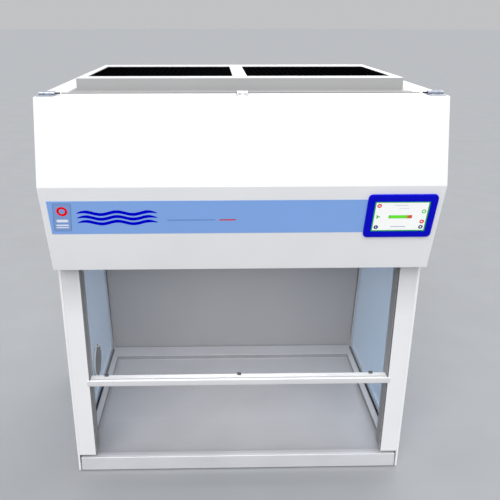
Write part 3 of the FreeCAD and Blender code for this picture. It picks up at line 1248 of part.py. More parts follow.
meshes = []
MESH_LAP = dim("mesh_lap")
GRILLE_START = 12
for word, side in SIDES.items():
    title = word.title()
    grille_x = across(side, OUTLET_INNER - MESH_LAP, OUTLET_OUTER + MESH_LAP)
    grille = new_body(f"ExhaustMesh{title}")
    pad(grille, f"MeshPlate{title}", "XY_Plane", MESH_Z, COLLAR_UNDER,
        rectangle(*grille_x, OUTLET_Y[0] - MESH_LAP, OUTLET_Y[1] + MESH_LAP))
    slot_x = grille_x[0] + MESH_LAP + GRILLE_START
    slot = pocket(grille, f"MeshSlot{title}", "XY_Plane", MESH_Z, COLLAR_UNDER,
                  rectangle(slot_x, slot_x + dim("grille_slot"), OUTLET_Y[0] + GRILLE_START,
                            OUTLET_Y[1] - GRILLE_START))
    room = OUTLET_OUTER - OUTLET_INNER - 2 * GRILLE_START - dim("grille_slot")
    slots = grille.newObject("PartDesign::LinearPattern", f"MeshSlots{title}")
    slots.Originals = [slot]
    slots.Direction = (slot.Profile[0], ["H_Axis"])
    slots.setExpression("Length", f"floor({(room / dim('slot_pitch')).formula})"
                        f" * {dim('slot_pitch').formula}")
    slots.setExpression("Occurrences", f"floor({(room / dim('slot_pitch')).formula}) + 1")
    grille.Tip = slots
    doc.recompute()
    meshes.append(grille)
node("exhaust_meshes", group("ExhaustMeshes", *meshes))

# ---------------------------------------------------------------- electrics

CONTROL_X = (Size.of(-200), Size.of(120))
CONTROL_FROM_FILTER = 60
CONTROL_FROM_BACK = 25
CONTROL_HEIGHT = 80
CONTROL_Y = (FILTER_Y[1] + CONTROL_FROM_FILTER, BACK_INSIDE - CONTROL_FROM_BACK)
control = new_body("ControlBox")
pad(control, "ControlBlock", "XY_Plane", SHELF_TOP, SHELF_TOP + CONTROL_HEIGHT,
    rectangle(*CONTROL_X, *CONTROL_Y))
pocket(control, "ControlHollow", "XY_Plane", SHELF_TOP + SHEET, SHELF_TOP + CONTROL_HEIGHT,
       rectangle(CONTROL_X[0] + SHEET, CONTROL_X[1] - SHEET, CONTROL_Y[0] + SHEET,
                 CONTROL_Y[1] - SHEET))
node("control_box", control)

POST_HEIGHT = 6
BOARD_THICK = 1.6
BOARD_MARGIN = 12
POST_INSET = 8
POST_RADIUS = 3
SOLDERED = 1
BOARD_Z = SHELF_TOP + SHEET + POST_HEIGHT
BOARD_X = (CONTROL_X[0] + BOARD_MARGIN, CONTROL_X[1] - BOARD_MARGIN)
BOARD_Y = (CONTROL_Y[0] + BOARD_MARGIN, CONTROL_Y[1] - BOARD_MARGIN)
board_parts = [box("BoardSheet", BOARD_X, BOARD_Y, (BOARD_Z, BOARD_Z + BOARD_THICK))]
# Each part on the board: its place from the board's corner, width, depth and height.
PART_PLACES = [(20, 15, 50, 40, 30), (90, 20, 40, 25, 18), (150, 15, 26, 26, 12),
               (200, 20, 60, 40, 24)]
for index, (x, y, wide, deep, tall) in enumerate(PART_PLACES):
    board_parts.append(box(f"BoardPart{index}", (BOARD_X[0] + x, BOARD_X[0] + x + wide),
                           (BOARD_Y[0] + y, BOARD_Y[0] + y + deep),
                           (BOARD_Z + SOLDERED, BOARD_Z + tall)))
for index, (x, y) in enumerate(((0, 0), (0, 1), (1, 0), (1, 1))):
    post_x = BOARD_X[x] + (POST_INSET if x == 0 else -POST_INSET)
    post_y = BOARD_Y[y] + (POST_INSET if y == 0 else -POST_INSET)
    board_parts.append(cylinder(f"BoardPost{index}", "Z", POST_RADIUS, post_x, post_y,
                                SHELF_TOP + SHEET, POST_HEIGHT + SOLDERED))
node("main_circuit_board", fuse("MainCircuitBoard", *board_parts))

# The gas sensor looks at the cleaned air between the fans and the filters.
SENSOR_X = dim("sensor_x")
SENSOR_Z = SHELF_Z - dim("sensor_drop")
SENSOR_HALF_WIDTH = 25
SENSOR_HALF_HEIGHT = 20
SENSOR_DEPTH = 22
SNOUT_RADIUS = 10
SNOUT_LENGTH = 12
sensor_block = box("SensorBlock", (SENSOR_X - SENSOR_HALF_WIDTH, SENSOR_X + SENSOR_HALF_WIDTH),
                   (CEILING_FRONT, CEILING_FRONT + SENSOR_DEPTH),
                   (SENSOR_Z - SENSOR_HALF_HEIGHT, SENSOR_Z + SENSOR_HALF_HEIGHT))
sensor_snout = cylinder("SensorSnout", "Y", SNOUT_RADIUS, SENSOR_X, CEILING_FRONT + SENSOR_DEPTH,
                        SENSOR_Z, SNOUT_LENGTH)
node("gas_sensor", fuse("GasSensor", sensor_block, sensor_snout))

# Mains inlet module in the back panel, with a rocker switch beside its socket.
FLANGE_HALF = 38
FLANGE_TALL = 19
FLANGE_CORNER = 5
INLET_DEPTH = 30
SOCKET_DEPTH = 16
SOCKET_X = (INLET_X - 4, INLET_X + 23)
SOCKET_TALL = 9
WELL_DEPTH = 14
WELL_X = (INLET_X - 27, INLET_X - 9)
WELL_TALL = 11
BLADE_HALF = 1
BLADE_TALL = 2.5
BLADE_SHY = 1
TRUNNION = Size.of(1.5)
TRUNNION_REACH = 1.5
inlet = new_body("MainsInlet")
pad(inlet, "InletFlange", "XZ_Plane", BACK_Y, REAR_Y,
    rectangle(INLET_X - FLANGE_HALF, INLET_X + FLANGE_HALF, INLET_Z - FLANGE_TALL,
              INLET_Z + FLANGE_TALL))
fillet(inlet, "InletFlangeCorners", FLANGE_CORNER,
       lambda edge: edge.XLength < TINY and edge.ZLength < TINY and edge.YLength > TINY)
pad(inlet, "InletBody", "XZ_Plane", BACK_Y - INLET_DEPTH, BACK_Y,
    rectangle(INLET_X - INLET_BODY_HALF, INLET_X + INLET_BODY_HALF, INLET_Z - INLET_BODY_TALL,
              INLET_Z + INLET_BODY_TALL))
pocket(inlet, "Socket", "XZ_Plane", BACK_Y - SOCKET_DEPTH, REAR_Y,
       rectangle(*SOCKET_X, INLET_Z - SOCKET_TALL, INLET_Z + SOCKET_TALL))
pocket(inlet, "SwitchWell", "XZ_Plane", BACK_Y - WELL_DEPTH, REAR_Y,
       rectangle(*WELL_X, INLET_Z - WELL_TALL, INLET_Z + WELL_TALL))
ROCKER_Y = REAR_Y - 12
BORE_REACH = TRUNNION_REACH + 0.5
pocket(inlet, "TrunnionBores", "YZ_Plane", WELL_X[0] - BORE_REACH, WELL_X[1] + BORE_REACH,
       circle(ROCKER_Y, INLET_Z, TRUNNION + dim("running_clearance")))
# The socket's three blades, each from the inlet's middle: the earth blade is the raised one.
for index, (x, z) in enumerate(((2, -3), (9.5, 3), (17, -3))):
    pad(inlet, f"Blade{index}", "XZ_Plane", BACK_Y - SOCKET_DEPTH, BACK_Y - BLADE_SHY,
        rectangle(INLET_X + x - BLADE_HALF, INLET_X + x + BLADE_HALF, INLET_Z + z - BLADE_TALL,
                  INLET_Z + z + BLADE_TALL))
node("mains_inlet", inlet)

ROCKER_GAP = 1
ROCKER_X = (WELL_X[0] + ROCKER_GAP, WELL_X[1] - ROCKER_GAP)
# Section (Y, Z) of the rocker: its lower half is pressed in and its upper half stands out.
rocker_section = [(ROCKER_Y - 2, INLET_Z - 8.5), (REAR_Y - 4.5, INLET_Z - 9.5),
                  (REAR_Y - 5, INLET_Z), (REAR_Y - 1, INLET_Z + 8.2), (ROCKER_Y - 2, INLET_Z + 7)]
TRUNNION_X = (WELL_X[0] - TRUNNION_REACH, WELL_X[1] + TRUNNION_REACH)
rocker = new_body("RockerSwitch")
pad(rocker, "RockerPad", "YZ_Plane", *ROCKER_X, rocker_section)
pad(rocker, "Trunnions", "YZ_Plane", *TRUNNION_X, circle(ROCKER_Y, INLET_Z, TRUNNION))
node("rocker_switch", rocker)

# ---------------------------------------------------------------- check and write

doc.recompute()
for item in doc.Objects:
    if "Invalid" in item.State or "Error" in item.State:
        raise ValueError(f"{item.Name} failed: {item.State}")
for name, item in nodes.items():
    if item.Shape.isNull() or not item.Shape.isValid():
        raise ValueError(f"{name} has no valid shape")

os.makedirs(NODE_FOLDER, exist_ok=True)
for name, item in nodes.items():
    item.Shape.exportStep(f"{NODE_FOLDER}/{name}.step")
print(len(nodes), "sub-parts")
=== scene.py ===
import json
import math
import bmesh
import bpy
import numpy as np
from mathutils import Euler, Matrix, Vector


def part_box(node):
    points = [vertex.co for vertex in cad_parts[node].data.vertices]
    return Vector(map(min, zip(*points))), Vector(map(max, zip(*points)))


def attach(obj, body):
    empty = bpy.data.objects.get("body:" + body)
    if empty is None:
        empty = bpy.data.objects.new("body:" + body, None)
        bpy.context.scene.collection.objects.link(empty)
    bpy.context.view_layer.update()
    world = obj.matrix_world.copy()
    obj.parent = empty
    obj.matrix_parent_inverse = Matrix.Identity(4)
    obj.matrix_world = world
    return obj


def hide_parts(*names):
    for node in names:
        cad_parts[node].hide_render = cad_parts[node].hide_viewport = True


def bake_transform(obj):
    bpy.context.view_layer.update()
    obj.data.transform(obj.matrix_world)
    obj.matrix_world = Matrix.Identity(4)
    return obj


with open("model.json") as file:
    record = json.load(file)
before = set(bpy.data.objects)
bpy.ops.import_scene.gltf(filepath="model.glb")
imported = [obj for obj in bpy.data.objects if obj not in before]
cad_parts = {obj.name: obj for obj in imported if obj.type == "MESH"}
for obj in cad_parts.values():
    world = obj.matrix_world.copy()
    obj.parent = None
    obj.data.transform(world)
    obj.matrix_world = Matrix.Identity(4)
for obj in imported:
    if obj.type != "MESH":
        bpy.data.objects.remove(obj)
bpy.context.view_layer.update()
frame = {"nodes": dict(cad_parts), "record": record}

# Bench-top recirculating fume cupboard. Lengths are in metres, and MM turns millimetres into them.
MM = 0.001
MERGE = 0.01 * MM
FAR = 9.0
SHARP = math.radians(30)
RECORD = frame["record"]
BODY_OF = {node: body for body, members in RECORD["behaviour"]["bodies"].items()
           for node in members}


def corners(node):
    """Lowest and highest corner of a node as two arrays."""
    low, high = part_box(node)
    return np.array(low), np.array(high)


def middle(node):
    """Middle of a node's box."""
    low, high = corners(node)
    return (low + high) / 2


# ---------------------------------------------------------------- node tools for the materials


def new_material(name, colour, roughness, metallic=0.0):
    """Material with its plain values on the shader's own sockets, and the tree that holds them."""
    material = bpy.data.materials.new(name)
    material.use_nodes = True
    tree = material.node_tree
    shader = tree.nodes["Principled BSDF"]
    shader.inputs["Base Color"].default_value = (*colour, 1.0)
    shader.inputs["Roughness"].default_value = roughness
    shader.inputs["Metallic"].default_value = metallic
    return material, tree, shader


def at(tree, stretch=(1.0, 1.0, 1.0), turn=(0.0, 0.0, 0.0)):
    """Position on the piece, stretched and turned."""
    source = tree.nodes.new("ShaderNodeTexCoord")
    mapping = tree.nodes.new("ShaderNodeMapping")
    mapping.inputs["Scale"].default_value = stretch
    mapping.inputs["Rotation"].default_value = turn
    tree.links.new(source.outputs["Object"], mapping.inputs["Vector"])
    return mapping.outputs["Vector"]


def noise(tree, vector, size, detail=3.0, harshness=0.5):
    """Soft noise whose grains are about `size` metres across."""
    grain = tree.nodes.new("ShaderNodeTexNoise")
    grain.inputs["Scale"].default_value = 1.0 / size
    grain.inputs["Detail"].default_value = detail
    grain.inputs["Roughness"].default_value = harshness
    tree.links.new(vector, grain.inputs["Vector"])
    return grain.outputs["Fac"]


def cells(tree, vector, size, output="Distance", feature="F1"):
    """Cells about `size` metres across."""
    pattern = tree.nodes.new("ShaderNodeTexVoronoi")
    pattern.feature = feature
    pattern.inputs["Scale"].default_value = 1.0 / size
    tree.links.new(vector, pattern.inputs["Vector"])
    return pattern.outputs[output]


def spread(tree, value, low, high, to_low, to_high):
    """Carries a value from one range to another, held at the ends."""
    remap = tree.nodes.new("ShaderNodeMapRange")
    for socket, amount in (("From Min", low), ("From Max", high), ("To Min", to_low),
                           ("To Max", to_high)):
        remap.inputs[socket].default_value = amount
    tree.links.new(value, remap.inputs["Value"])
    return remap.outputs["Result"]


def shades(tree, value, *stops):
    """Colours along a value: each stop is a place from 0 to 1 and a colour."""
    ramp = tree.nodes.new("ShaderNodeValToRGB")
    elements = ramp.color_ramp.elements
    for index, (place, colour) in enumerate(stops):
        element = elements[index] if index < 2 else elements.new(place)
        element.position = place
        element.color = (*colour, 1.0)
    tree.links.new(value, ramp.inputs["Fac"])
    return ramp.outputs["Color"]


def tint(tree, factor, first, second):
    """Mixes two colours, each a socket or a plain colour."""
    blend = tree.nodes.new("ShaderNodeMix")
    blend.data_type = "RGBA"
    for socket, colour in ((blend.inputs[6], first), (blend.inputs[7], second)):
        if isinstance(colour, tuple):
            socket.default_value = (*colour, 1.0)
        else:
            tree.links.new(colour, socket)
    tree.links.new(factor, blend.inputs[0])
    return blend.outputs[2]


def relief(tree, shader, height, depth, strength=1.0, under=None):
    """Bumps the surface by a height whose full range is `depth` metres."""
    bump = tree.nodes.new("ShaderNodeBump")
    bump.inputs["Distance"].default_value = depth
    bump.inputs["Strength"].default_value = strength
    tree.links.new(height, bump.inputs["Height"])
    if under is not None:
        tree.links.new(under, bump.inputs["Normal"])
    tree.links.new(bump.outputs["Normal"], shader.inputs["Normal"])
    return bump.outputs["Normal"]


def scaled(colour, share):
    """A colour made lighter or darker by a share."""
    return tuple(channel * share for channel in colour)


# ---------------------------------------------------------------- materials


def powder_coat(name, colour, roughness=0.38, peel=0.02 * MM, blotch=0.96):
    """Sprayed powder paint: faint orange peel, and a shade that drifts over a hand's width."""
    material, tree, shader = new_material(name, colour, roughness)
    place = at(tree)
    drift = noise(tree, place, 220 * MM, 2.0)
    shade = tint(tree, spread(tree, drift, 0.3, 0.7, 0.0, 1.0), scaled(colour, blotch), colour)
    specks = spread(tree, noise(tree, place, 2.2 * MM, 1.0), 0.62, 0.8, 0.0, 0.35)
    tree.links.new(tint(tree, specks, shade, scaled(colour, 0.93)), shader.inputs["Base Color"])
    rub = noise(tree, place, 35 * MM, 4.0)
    tree.links.new(spread(tree, rub, 0.25, 0.75, roughness - 0.05, roughness + 0.07),
                   shader.inputs["Roughness"])
    relief(tree, shader, noise(tree, place, 1.4 * MM, 2.0), peel)
    return material


def satin_tray(name, colour):
    """Satin steel of the work tray: soft cloudy blotches, a fine grain and wiped streaks."""
    material, tree, shader = new_material(name, colour, 0.42, 0.25)
    place = at(tree)
    cloud = noise(tree, place, 160 * MM, 4.0, 0.5)
    streak = noise(tree, at(tree, (1.0, 7.0, 7.0)), 60 * MM, 3.0)
    shade = shades(tree, cloud, (0.32, scaled(colour, 0.96)), (0.5, colour),
                   (0.68, scaled(colour, 1.03)))
    wiped = spread(tree, streak, 0.45, 0.75, 0.0, 0.3)
    tree.links.new(tint(tree, wiped, shade, scaled(colour, 1.05)), shader.inputs["Base Color"])
    tree.links.new(spread(tree, cloud, 0.3, 0.7, 0.36, 0.44), shader.inputs["Roughness"])
    relief(tree, shader, noise(tree, place, 0.9 * MM, 2.0), 0.012 * MM)
    return material


def brushed(name, colour, along="x", roughness=0.32):
    """Brushed metal whose fine lines run along one axis."""
    material, tree, shader = new_material(name, colour, roughness, 1.0)
    stretch = {"x": (0.02, 1.0, 1.0), "y": (1.0, 0.02, 1.0), "z": (1.0, 1.0, 0.02)}[along]
    lines = noise(tree, at(tree, stretch), 0.5 * MM, 3.0, 0.6)
    smudge = noise(tree, at(tree), 40 * MM, 4.0)
    shade = shades(tree, lines, (0.3, scaled(colour, 0.82)), (0.7, scaled(colour, 1.08)))
    tree.links.new(tint(tree, spread(tree, smudge, 0.4, 0.8, 0.0, 0.4), shade,
                        scaled(colour, 0.85)), shader.inputs["Base Color"])
    tree.links.new(spread(tree, smudge, 0.3, 0.7, roughness - 0.06, roughness + 0.08),
                   shader.inputs["Roughness"])
    relief(tree, shader, lines, 0.01 * MM)
    return material


def zinc(name, colour=(0.60, 0.62, 0.64)):
    """Galvanised sheet: flat crystals of slightly different greys and gloss."""
    material, tree, shader = new_material(name, colour, 0.42, 0.9)
    place = at(tree)
    crystal = cells(tree, place, 14 * MM, "Color")
    split = tree.nodes.new("ShaderNodeSeparateColor")
    tree.links.new(crystal, split.inputs["Color"])
    value = split.outputs["Red"]
    shade = shades(tree, value, (0.0, scaled(colour, 0.8)), (0.55, colour),
                   (1.0, scaled(colour, 1.18)))
    tree.links.new(shade, shader.inputs["Base Color"])
    tree.links.new(spread(tree, value, 0.0, 1.0, 0.34, 0.52), shader.inputs["Roughness"])
    relief(tree, shader, noise(tree, place, 1.5 * MM, 3.0), 0.015 * MM)
    return material


def clear_sheet(name, colour, body_alpha, edge_alpha, roughness=0.04):
    """Clear sheet that is nearly unseen face on and catches light at a glancing angle."""
    material, tree, shader = new_material(name, colour, roughness)
    shader.inputs["IOR"].default_value = 1.49
    facing = tree.nodes.new("ShaderNodeLayerWeight")
    facing.inputs["Blend"].default_value = 0.35
    tree.links.new(spread(tree, facing.outputs["Facing"], 0.1, 1.0, body_alpha, edge_alpha),
                   shader.inputs["Alpha"])
    film = noise(tree, at(tree), 60 * MM, 5.0)
    tree.links.new(spread(tree, film, 0.4, 0.75, roughness, roughness + 0.07),
                   shader.inputs["Roughness"])
    tree.links.new(tint(tree, film, colour, scaled(colour, 0.94)), shader.inputs["Base Color"])
    return material


def moulded(name, colour, roughness=0.5, grain=0.6 * MM, depth=0.02 * MM, coat=0.0):
    """Moulded plastic with a fine spark-eroded grain."""
    material, tree, shader = new_material(name, colour, roughness)
    place = at(tree)
    sparks = cells(tree, place, grain)
    smear = noise(tree, place, 30 * MM, 4.0)
    tree.links.new(tint(tree, smear, scaled(colour, 0.9), scaled(colour, 1.08)),
                   shader.inputs["Base Color"])
    tree.links.new(spread(tree, smear, 0.3, 0.7, roughness - 0.05, roughness + 0.08),
                   shader.inputs["Roughness"])
    shader.inputs["Coat Weight"].default_value = coat
    relief(tree, shader, sparks, depth)
    return material


def rubber(name, colour=(0.02, 0.02, 0.021)):
    """Matt rubber with a dusty bloom."""
    material, tree, shader = new_material(name, colour, 0.8)
    place = at(tree)
    bloom = noise(tree, place, 6 * MM, 6.0, 0.65)
    tree.links.new(tint(tree, spread(tree, bloom, 0.45, 0.8, 0.0, 0.5), colour,
                        (0.10, 0.10, 0.10)), shader.inputs["Base Color"])
    tree.links.new(spread(tree, bloom, 0.3, 0.7, 0.7, 0.92), shader.inputs["Roughness"])
    relief(tree, shader, bloom, 0.06 * MM)
    return material


def printed_film(name, colour, roughness=0.42):
    """Printed polyester film: even ink with a faint mottle under a clear fine-textured face."""
    material, tree, shader = new_material(name, colour, roughness)
    place = at(tree)
    mottle = noise(tree, place, 90 * MM, 2.0)
    texture = noise(tree, place, 3 * MM, 1.0)
    ink = tint(tree, mottle, scaled(colour, 0.98), scaled(colour, 1.02))
    tree.links.new(tint(tree, spread(tree, texture, 0.5, 0.9, 0.0, 0.2), ink,
                        scaled(colour, 1.05)), shader.inputs["Base Color"])
    tree.links.new(spread(tree, mottle, 0.3, 0.7, roughness - 0.03, roughness + 0.03),
                   shader.inputs["Roughness"])
    relief(tree, shader, texture, 0.004 * MM)
    return material


def carbon_grain(name):
    """Heaped carbon granules: near black, each grain with its own grey and glint."""
    material, tree, shader = new_material(name, (0.012, 0.012, 0.013), 0.6)
    place = at(tree)
    grain = cells(tree, place, 3 * MM, "Color")
    split = tree.nodes.new("ShaderNodeSeparateColor")
    tree.links.new(grain, split.inputs["Color"])
    tree.links.new(shades(tree, split.outputs["Red"], (0.0, (0.0006, 0.0006, 0.0007)),
                          (1.0, (0.004, 0.004, 0.0044))), shader.inputs["Base Color"])
    tree.links.new(spread(tree, split.outputs["Green"], 0.0, 1.0, 0.35, 0.8),
                   shader.inputs["Roughness"])
    relief(tree, shader, noise(tree, place, 0.8 * MM, 3.0), 0.2 * MM)
    return material


def filter_fibre(name):
    """Matted filter fibre: short crossing hairs on off-white."""
    colour = (0.80, 0.81, 0.79)
    material, tree, shader = new_material(name, colour, 0.9)
    first = noise(tree, at(tree, (1.0, 0.12, 1.0), (0.0, 0.0, 0.6)), 1.2 * MM, 4.0, 0.7)
    second = noise(tree, at(tree, (0.12, 1.0, 1.0), (0.0, 0.0, 0.3)), 1.2 * MM, 4.0, 0.7)
    hairs = tree.nodes.new("ShaderNodeMath")
    hairs.operation = "MAXIMUM"
    tree.links.new(first, hairs.inputs[0])
    tree.links.new(second, hairs.inputs[1])
    tree.links.new(shades(tree, hairs.outputs[0], (0.4, scaled(colour, 0.72)), (0.7, colour)),
                   shader.inputs["Base Color"])
    shader.inputs["Sheen Weight"].default_value = 0.2
    relief(tree, shader, hairs.outputs[0], 0.4 * MM)
    return material


def cast_iron(name):
    """Sand-cast iron, sooty and pitted."""
    colour = (0.11, 0.11, 0.115)
    material, tree, shader = new_material(name, colour, 0.62, 0.7)
    place = at(tree)
    pits = noise(tree, place, 2.5 * MM, 5.0, 0.65)
    tree.links.new(shades(tree, pits, (0.3, scaled(colour, 0.6)), (0.7, scaled(colour, 1.3))),
                   shader.inputs["Base Color"])
    tree.links.new(spread(tree, pits, 0.3, 0.7, 0.75, 0.5), shader.inputs["Roughness"])
    relief(tree, shader, pits, 0.25 * MM)
    return material


def solder_mask(name):
    """Circuit board: green mask over fine copper tracks."""
    colour = (0.012, 0.16, 0.06)
    material, tree, shader = new_material(name, colour, 0.3)
    place = at(tree)
    bricks = tree.nodes.new("ShaderNodeTexBrick")
    bricks.inputs["Scale"].default_value = 120.0
    bricks.inputs["Mortar Size"].default_value = 0.03
    bricks.inputs["Color1"].default_value = (*colour, 1.0)
    bricks.inputs["Color2"].default_value = (*scaled(colour, 0.8), 1.0)
    bricks.inputs["Mortar"].default_value = (*scaled(colour, 1.8), 1.0)
    tree.links.new(place, bricks.inputs["Vector"])
    tree.links.new(bricks.outputs["Color"], shader.inputs["Base Color"])
    relief(tree, shader, bricks.outputs["Fac"], 0.03 * MM)
    tree.links.new(spread(tree, noise(tree, place, 15 * MM), 0.3, 0.7, 0.22, 0.4),
                   shader.inputs["Roughness"])
    return material


def opal(name):
    """Opal acrylic of the lamp, faintly lit from behind in a soft prism pattern."""
    colour = (0.92, 0.93, 0.95)
    material, tree, shader = new_material(name, colour, 0.45)
    prism = cells(tree, at(tree), 3 * MM)
    tree.links.new(tint(tree, prism, colour, scaled(colour, 0.86)), shader.inputs["Base Color"])
    tree.links.new(tint(tree, prism, (1.0, 1.0, 1.0), (0.8, 0.84, 0.9)),
                   shader.inputs["Emission Color"])
    shader.inputs["Emission Strength"].default_value = 0.9
    tree.links.new(spread(tree, prism, 0.0, 1.0, 0.35, 0.55), shader.inputs["Roughness"])
    relief(tree, shader, prism, 0.15 * MM)
    return material


def lit_face(name, colour, glow=0.3):
    """Lit face of the display: the colour itself glows, over a fine grid of cells."""
    material, tree, shader = new_material(name, colour, 0.22)
    grid = cells(tree, at(tree), 0.35 * MM)
    ink = tint(tree, spread(tree, grid, 0.35, 0.7, 0.0, 0.5), colour, scaled(colour, 0.93))
    tree.links.new(ink, shader.inputs["Base Color"])
    tree.links.new(ink, shader.inputs["Emission Color"])
    shader.inputs["Emission Strength"].default_value = glow
    haze = noise(tree, at(tree), 30 * MM, 3.0)
    tree.links.new(spread(tree, haze, 0.3, 0.7, 0.16, 0.28), shader.inputs["Roughness"])
    relief(tree, shader, haze, 0.004 * MM)
    return material


def gauge_face(name, start, end):
    """Lit bar that is green for three quarters of its length and then turns red, along X."""
    material, tree, shader = new_material(name, (0.08, 0.6, 0.02), 0.22)
    split = tree.nodes.new("ShaderNodeSeparateXYZ")
    tree.links.new(at(tree), split.inputs["Vector"])
    along = spread(tree, split.outputs["X"], start, end, 0.0, 1.0)
    ink = shades(tree, along, (0.0, (0.09, 0.45, 0.03)), (0.14, (0.10, 0.64, 0.01)),
                 (0.72, (0.10, 0.62, 0.02)), (0.84, (0.45, 0.12, 0.01)), (1.0, (0.52, 0.02, 0.02)))
    tree.links.new(ink, shader.inputs["Base Color"])
    tree.links.new(ink, shader.inputs["Emission Color"])
    shader.inputs["Emission Strength"].default_value = 0.3
    haze = noise(tree, at(tree), 8 * MM, 3.0)
    tree.links.new(spread(tree, haze, 0.3, 0.7, 0.16, 0.28), shader.inputs["Roughness"])
    relief(tree, shader, haze, 0.004 * MM)
    return material


def within(tree, place, low, high, soft):
    """One where a place is between two limits and nothing beyond them, with soft edges."""
    risen = spread(tree, place, low - soft, low + soft, 0.0, 1.0)
    fallen = spread(tree, place, high - soft, high + soft, 1.0, 0.0)
    return calculated(tree, "MULTIPLY", risen, fallen)


def calculated(tree, operation, *values):
    """Result of a sum on sockets."""
    node = tree.nodes.new("ShaderNodeMath")
    node.operation = operation
    for socket, value in zip(node.inputs, values):
        tree.links.new(value, socket)
    return node.outputs[0]


def toned(material, tone, *ranges, soft=0.05 * MM):
    """Multiplies the colour by a tone inside a zone: the product of its ranges, each an axis with
    its lowest and highest place. An axis with a bar, such as "|X", counts both sides alike."""
    tree = material.node_tree
    shader = tree.nodes["Principled BSDF"]
    split = tree.nodes.new("ShaderNodeSeparateXYZ")
    tree.links.new(at(tree), split.inputs["Vector"])
    share = None
    for axis, low, high in ranges:
        place = split.outputs[axis[-1]]
        if axis[0] == "|":
            place = calculated(tree, "ABSOLUTE", place)
        band = within(tree, place, low, high, soft)
        share = band if share is None else calculated(tree, "MULTIPLY", share, band)
    untoned = shader.inputs["Base Color"].links[0].from_socket
    wash = tree.nodes.new("ShaderNodeMix")
    wash.data_type = "RGBA"
    wash.blend_type = "MULTIPLY"
    wash.inputs[7].default_value = (*tone, 1.0)
    tree.links.new(untoned, wash.inputs[6])
    tree.links.new(share, wash.inputs[0])
    tree.links.new(wash.outputs[2], shader.inputs["Base Color"])
    return material


def grey(level):
    """An even grey."""
    return (level, level, level)


def unglossed(material, level=0.0):
    """Takes the mirror-like share off a deep black finish."""
    material.node_tree.nodes["Principled BSDF"].inputs["Specular IOR Level"].default_value = level
    return material


WHITE = powder_coat("white_powder", (0.83, 0.83, 0.84))
ROOF = powder_coat("roof_powder", (0.83, 0.83, 0.835))
COLLAR = toned(powder_coat("collar_powder", (0.80, 0.80, 0.805), 0.42, 0.03 * MM), grey(0.475),
               ("Z", -FAR, corners("exhaust_collar")[1][2] - 0.5 * MM))
PILLAR = toned(powder_coat("pillar_powder", (0.78, 0.78, 0.79)), grey(0.31),
               ("|X", -FAR, corners("pillar_right")[0][0] + 0.6 * MM))
# Painted shadow: each pillar is darkened from 120 mm below the fascia's lower edge upwards,
# standing in for the head's shadow.
toned(PILLAR, grey(0.82), ("Z", corners("fascia_cover")[0][2] - 120 * MM, FAR), soft=50 * MM)
GREY = powder_coat("chamber_powder", (0.34, 0.34, 0.35), 0.36)
BAR_TOP = corners("sash_bar")[1][2]
# Painted highlight: the sash bar's top face is made 1.44 times lighter than its front, standing in
# for the light from above.
BAR_WHITE = toned(powder_coat("sash_bar_powder", (0.66, 0.66, 0.67), 0.3), grey(1.44),
                  ("Z", BAR_TOP - 0.5 * MM, FAR))
BLACK_PAINT = unglossed(powder_coat("grille_powder", (0.002, 0.002, 0.0024), 0.9))
TRAY = satin_tray("tray_satin", (0.58, 0.585, 0.61))
TRAY_FRONT = corners("work_tray")[0][1]
TRAY_RIM = corners("work_tray")[1][2]
TRAY_INSIDE = TRAY_FRONT + 11 * MM
# Painted shade: the front 130 mm of the tray is darkened, fading out over 90 mm.
toned(TRAY, grey(0.80), ("Y", -FAR, TRAY_FRONT + 130 * MM), soft=90 * MM)
# Painted shade: the walls of the tray's recess, below the rim, are darkened to half.
toned(TRAY, grey(0.50), ("Y", TRAY_INSIDE, FAR),
      ("Z", TRAY_RIM - 17.5 * MM, TRAY_RIM - 1.5 * MM), soft=0.5 * MM)
# Painted highlight: the tops of the rims behind the front lip are lightened.
toned(TRAY, grey(1.15), ("Y", TRAY_INSIDE, FAR), ("Z", TRAY_RIM - 1.5 * MM, FAR))
# Painted light: the front lip, which stands out of the head's shadow, is made 1.42 times lighter.
toned(TRAY, grey(1.42), ("Y", -FAR, TRAY_INSIDE))
ZINC = zinc("zinc_sheet")
WINDOW = clear_sheet("window_sheet", (0.52, 0.74, 1.0), 0.34, 0.66)
SASH = clear_sheet("sash_sheet", (0.88, 0.92, 0.97), 0.035, 0.45)
BLUE_FILM = printed_film("strip_film", (0.22, 0.40, 0.80))
BEZEL_BLUE = unglossed(moulded("bezel_moulding", (0.0, 0.0, 0.56), 0.5, 0.5 * MM, 0.008 * MM), 0.1)
BLACK_PLASTIC = moulded("black_moulding", (0.022, 0.022, 0.024))
GREY_PLASTIC = moulded("grey_moulding", (0.46, 0.47, 0.49))
RUBBER = rubber("black_rubber")
CARBON = unglossed(carbon_grain("carbon_granules"))
CASSETTE = unglossed(powder_coat("cassette_powder", (0.002, 0.002, 0.0023), 0.8))
FIBRE = filter_fibre("prefilter_fibre")
IRON = cast_iron("weight_iron")
BOARD = solder_mask("board_mask")
OPAL = opal("lamp_opal")
LIT_WHITE = lit_face("screen_white", (0.62, 0.63, 0.62), 0.62)
COVER_STEEL = brushed("cover_brushed", (0.24, 0.23, 0.24), "z", 0.42)
RING_PLASTIC = moulded("ring_moulding", (0.72, 0.73, 0.74), 0.45)
HINGE_STEEL = toned(brushed("hinge_brushed", (0.42, 0.45, 0.52), "x", 0.42), (1.9, 1.78, 1.56),
                    ("|X", -FAR, 60 * MM))
DARK_STEEL = brushed("pin_blackened", (0.05, 0.05, 0.055), "x", 0.4)
SCREW_STEEL = brushed("screw_bright", (0.70, 0.71, 0.73), "x", 0.22)
MOTOR_BLACK = powder_coat("motor_enamel", (0.025, 0.025, 0.028), 0.32, 0.03 * MM, 0.85)
WIRE_ROPE = brushed("wire_rope", (0.48, 0.49, 0.51), "z", 0.35)

# ---------------------------------------------------------------- mesh tools


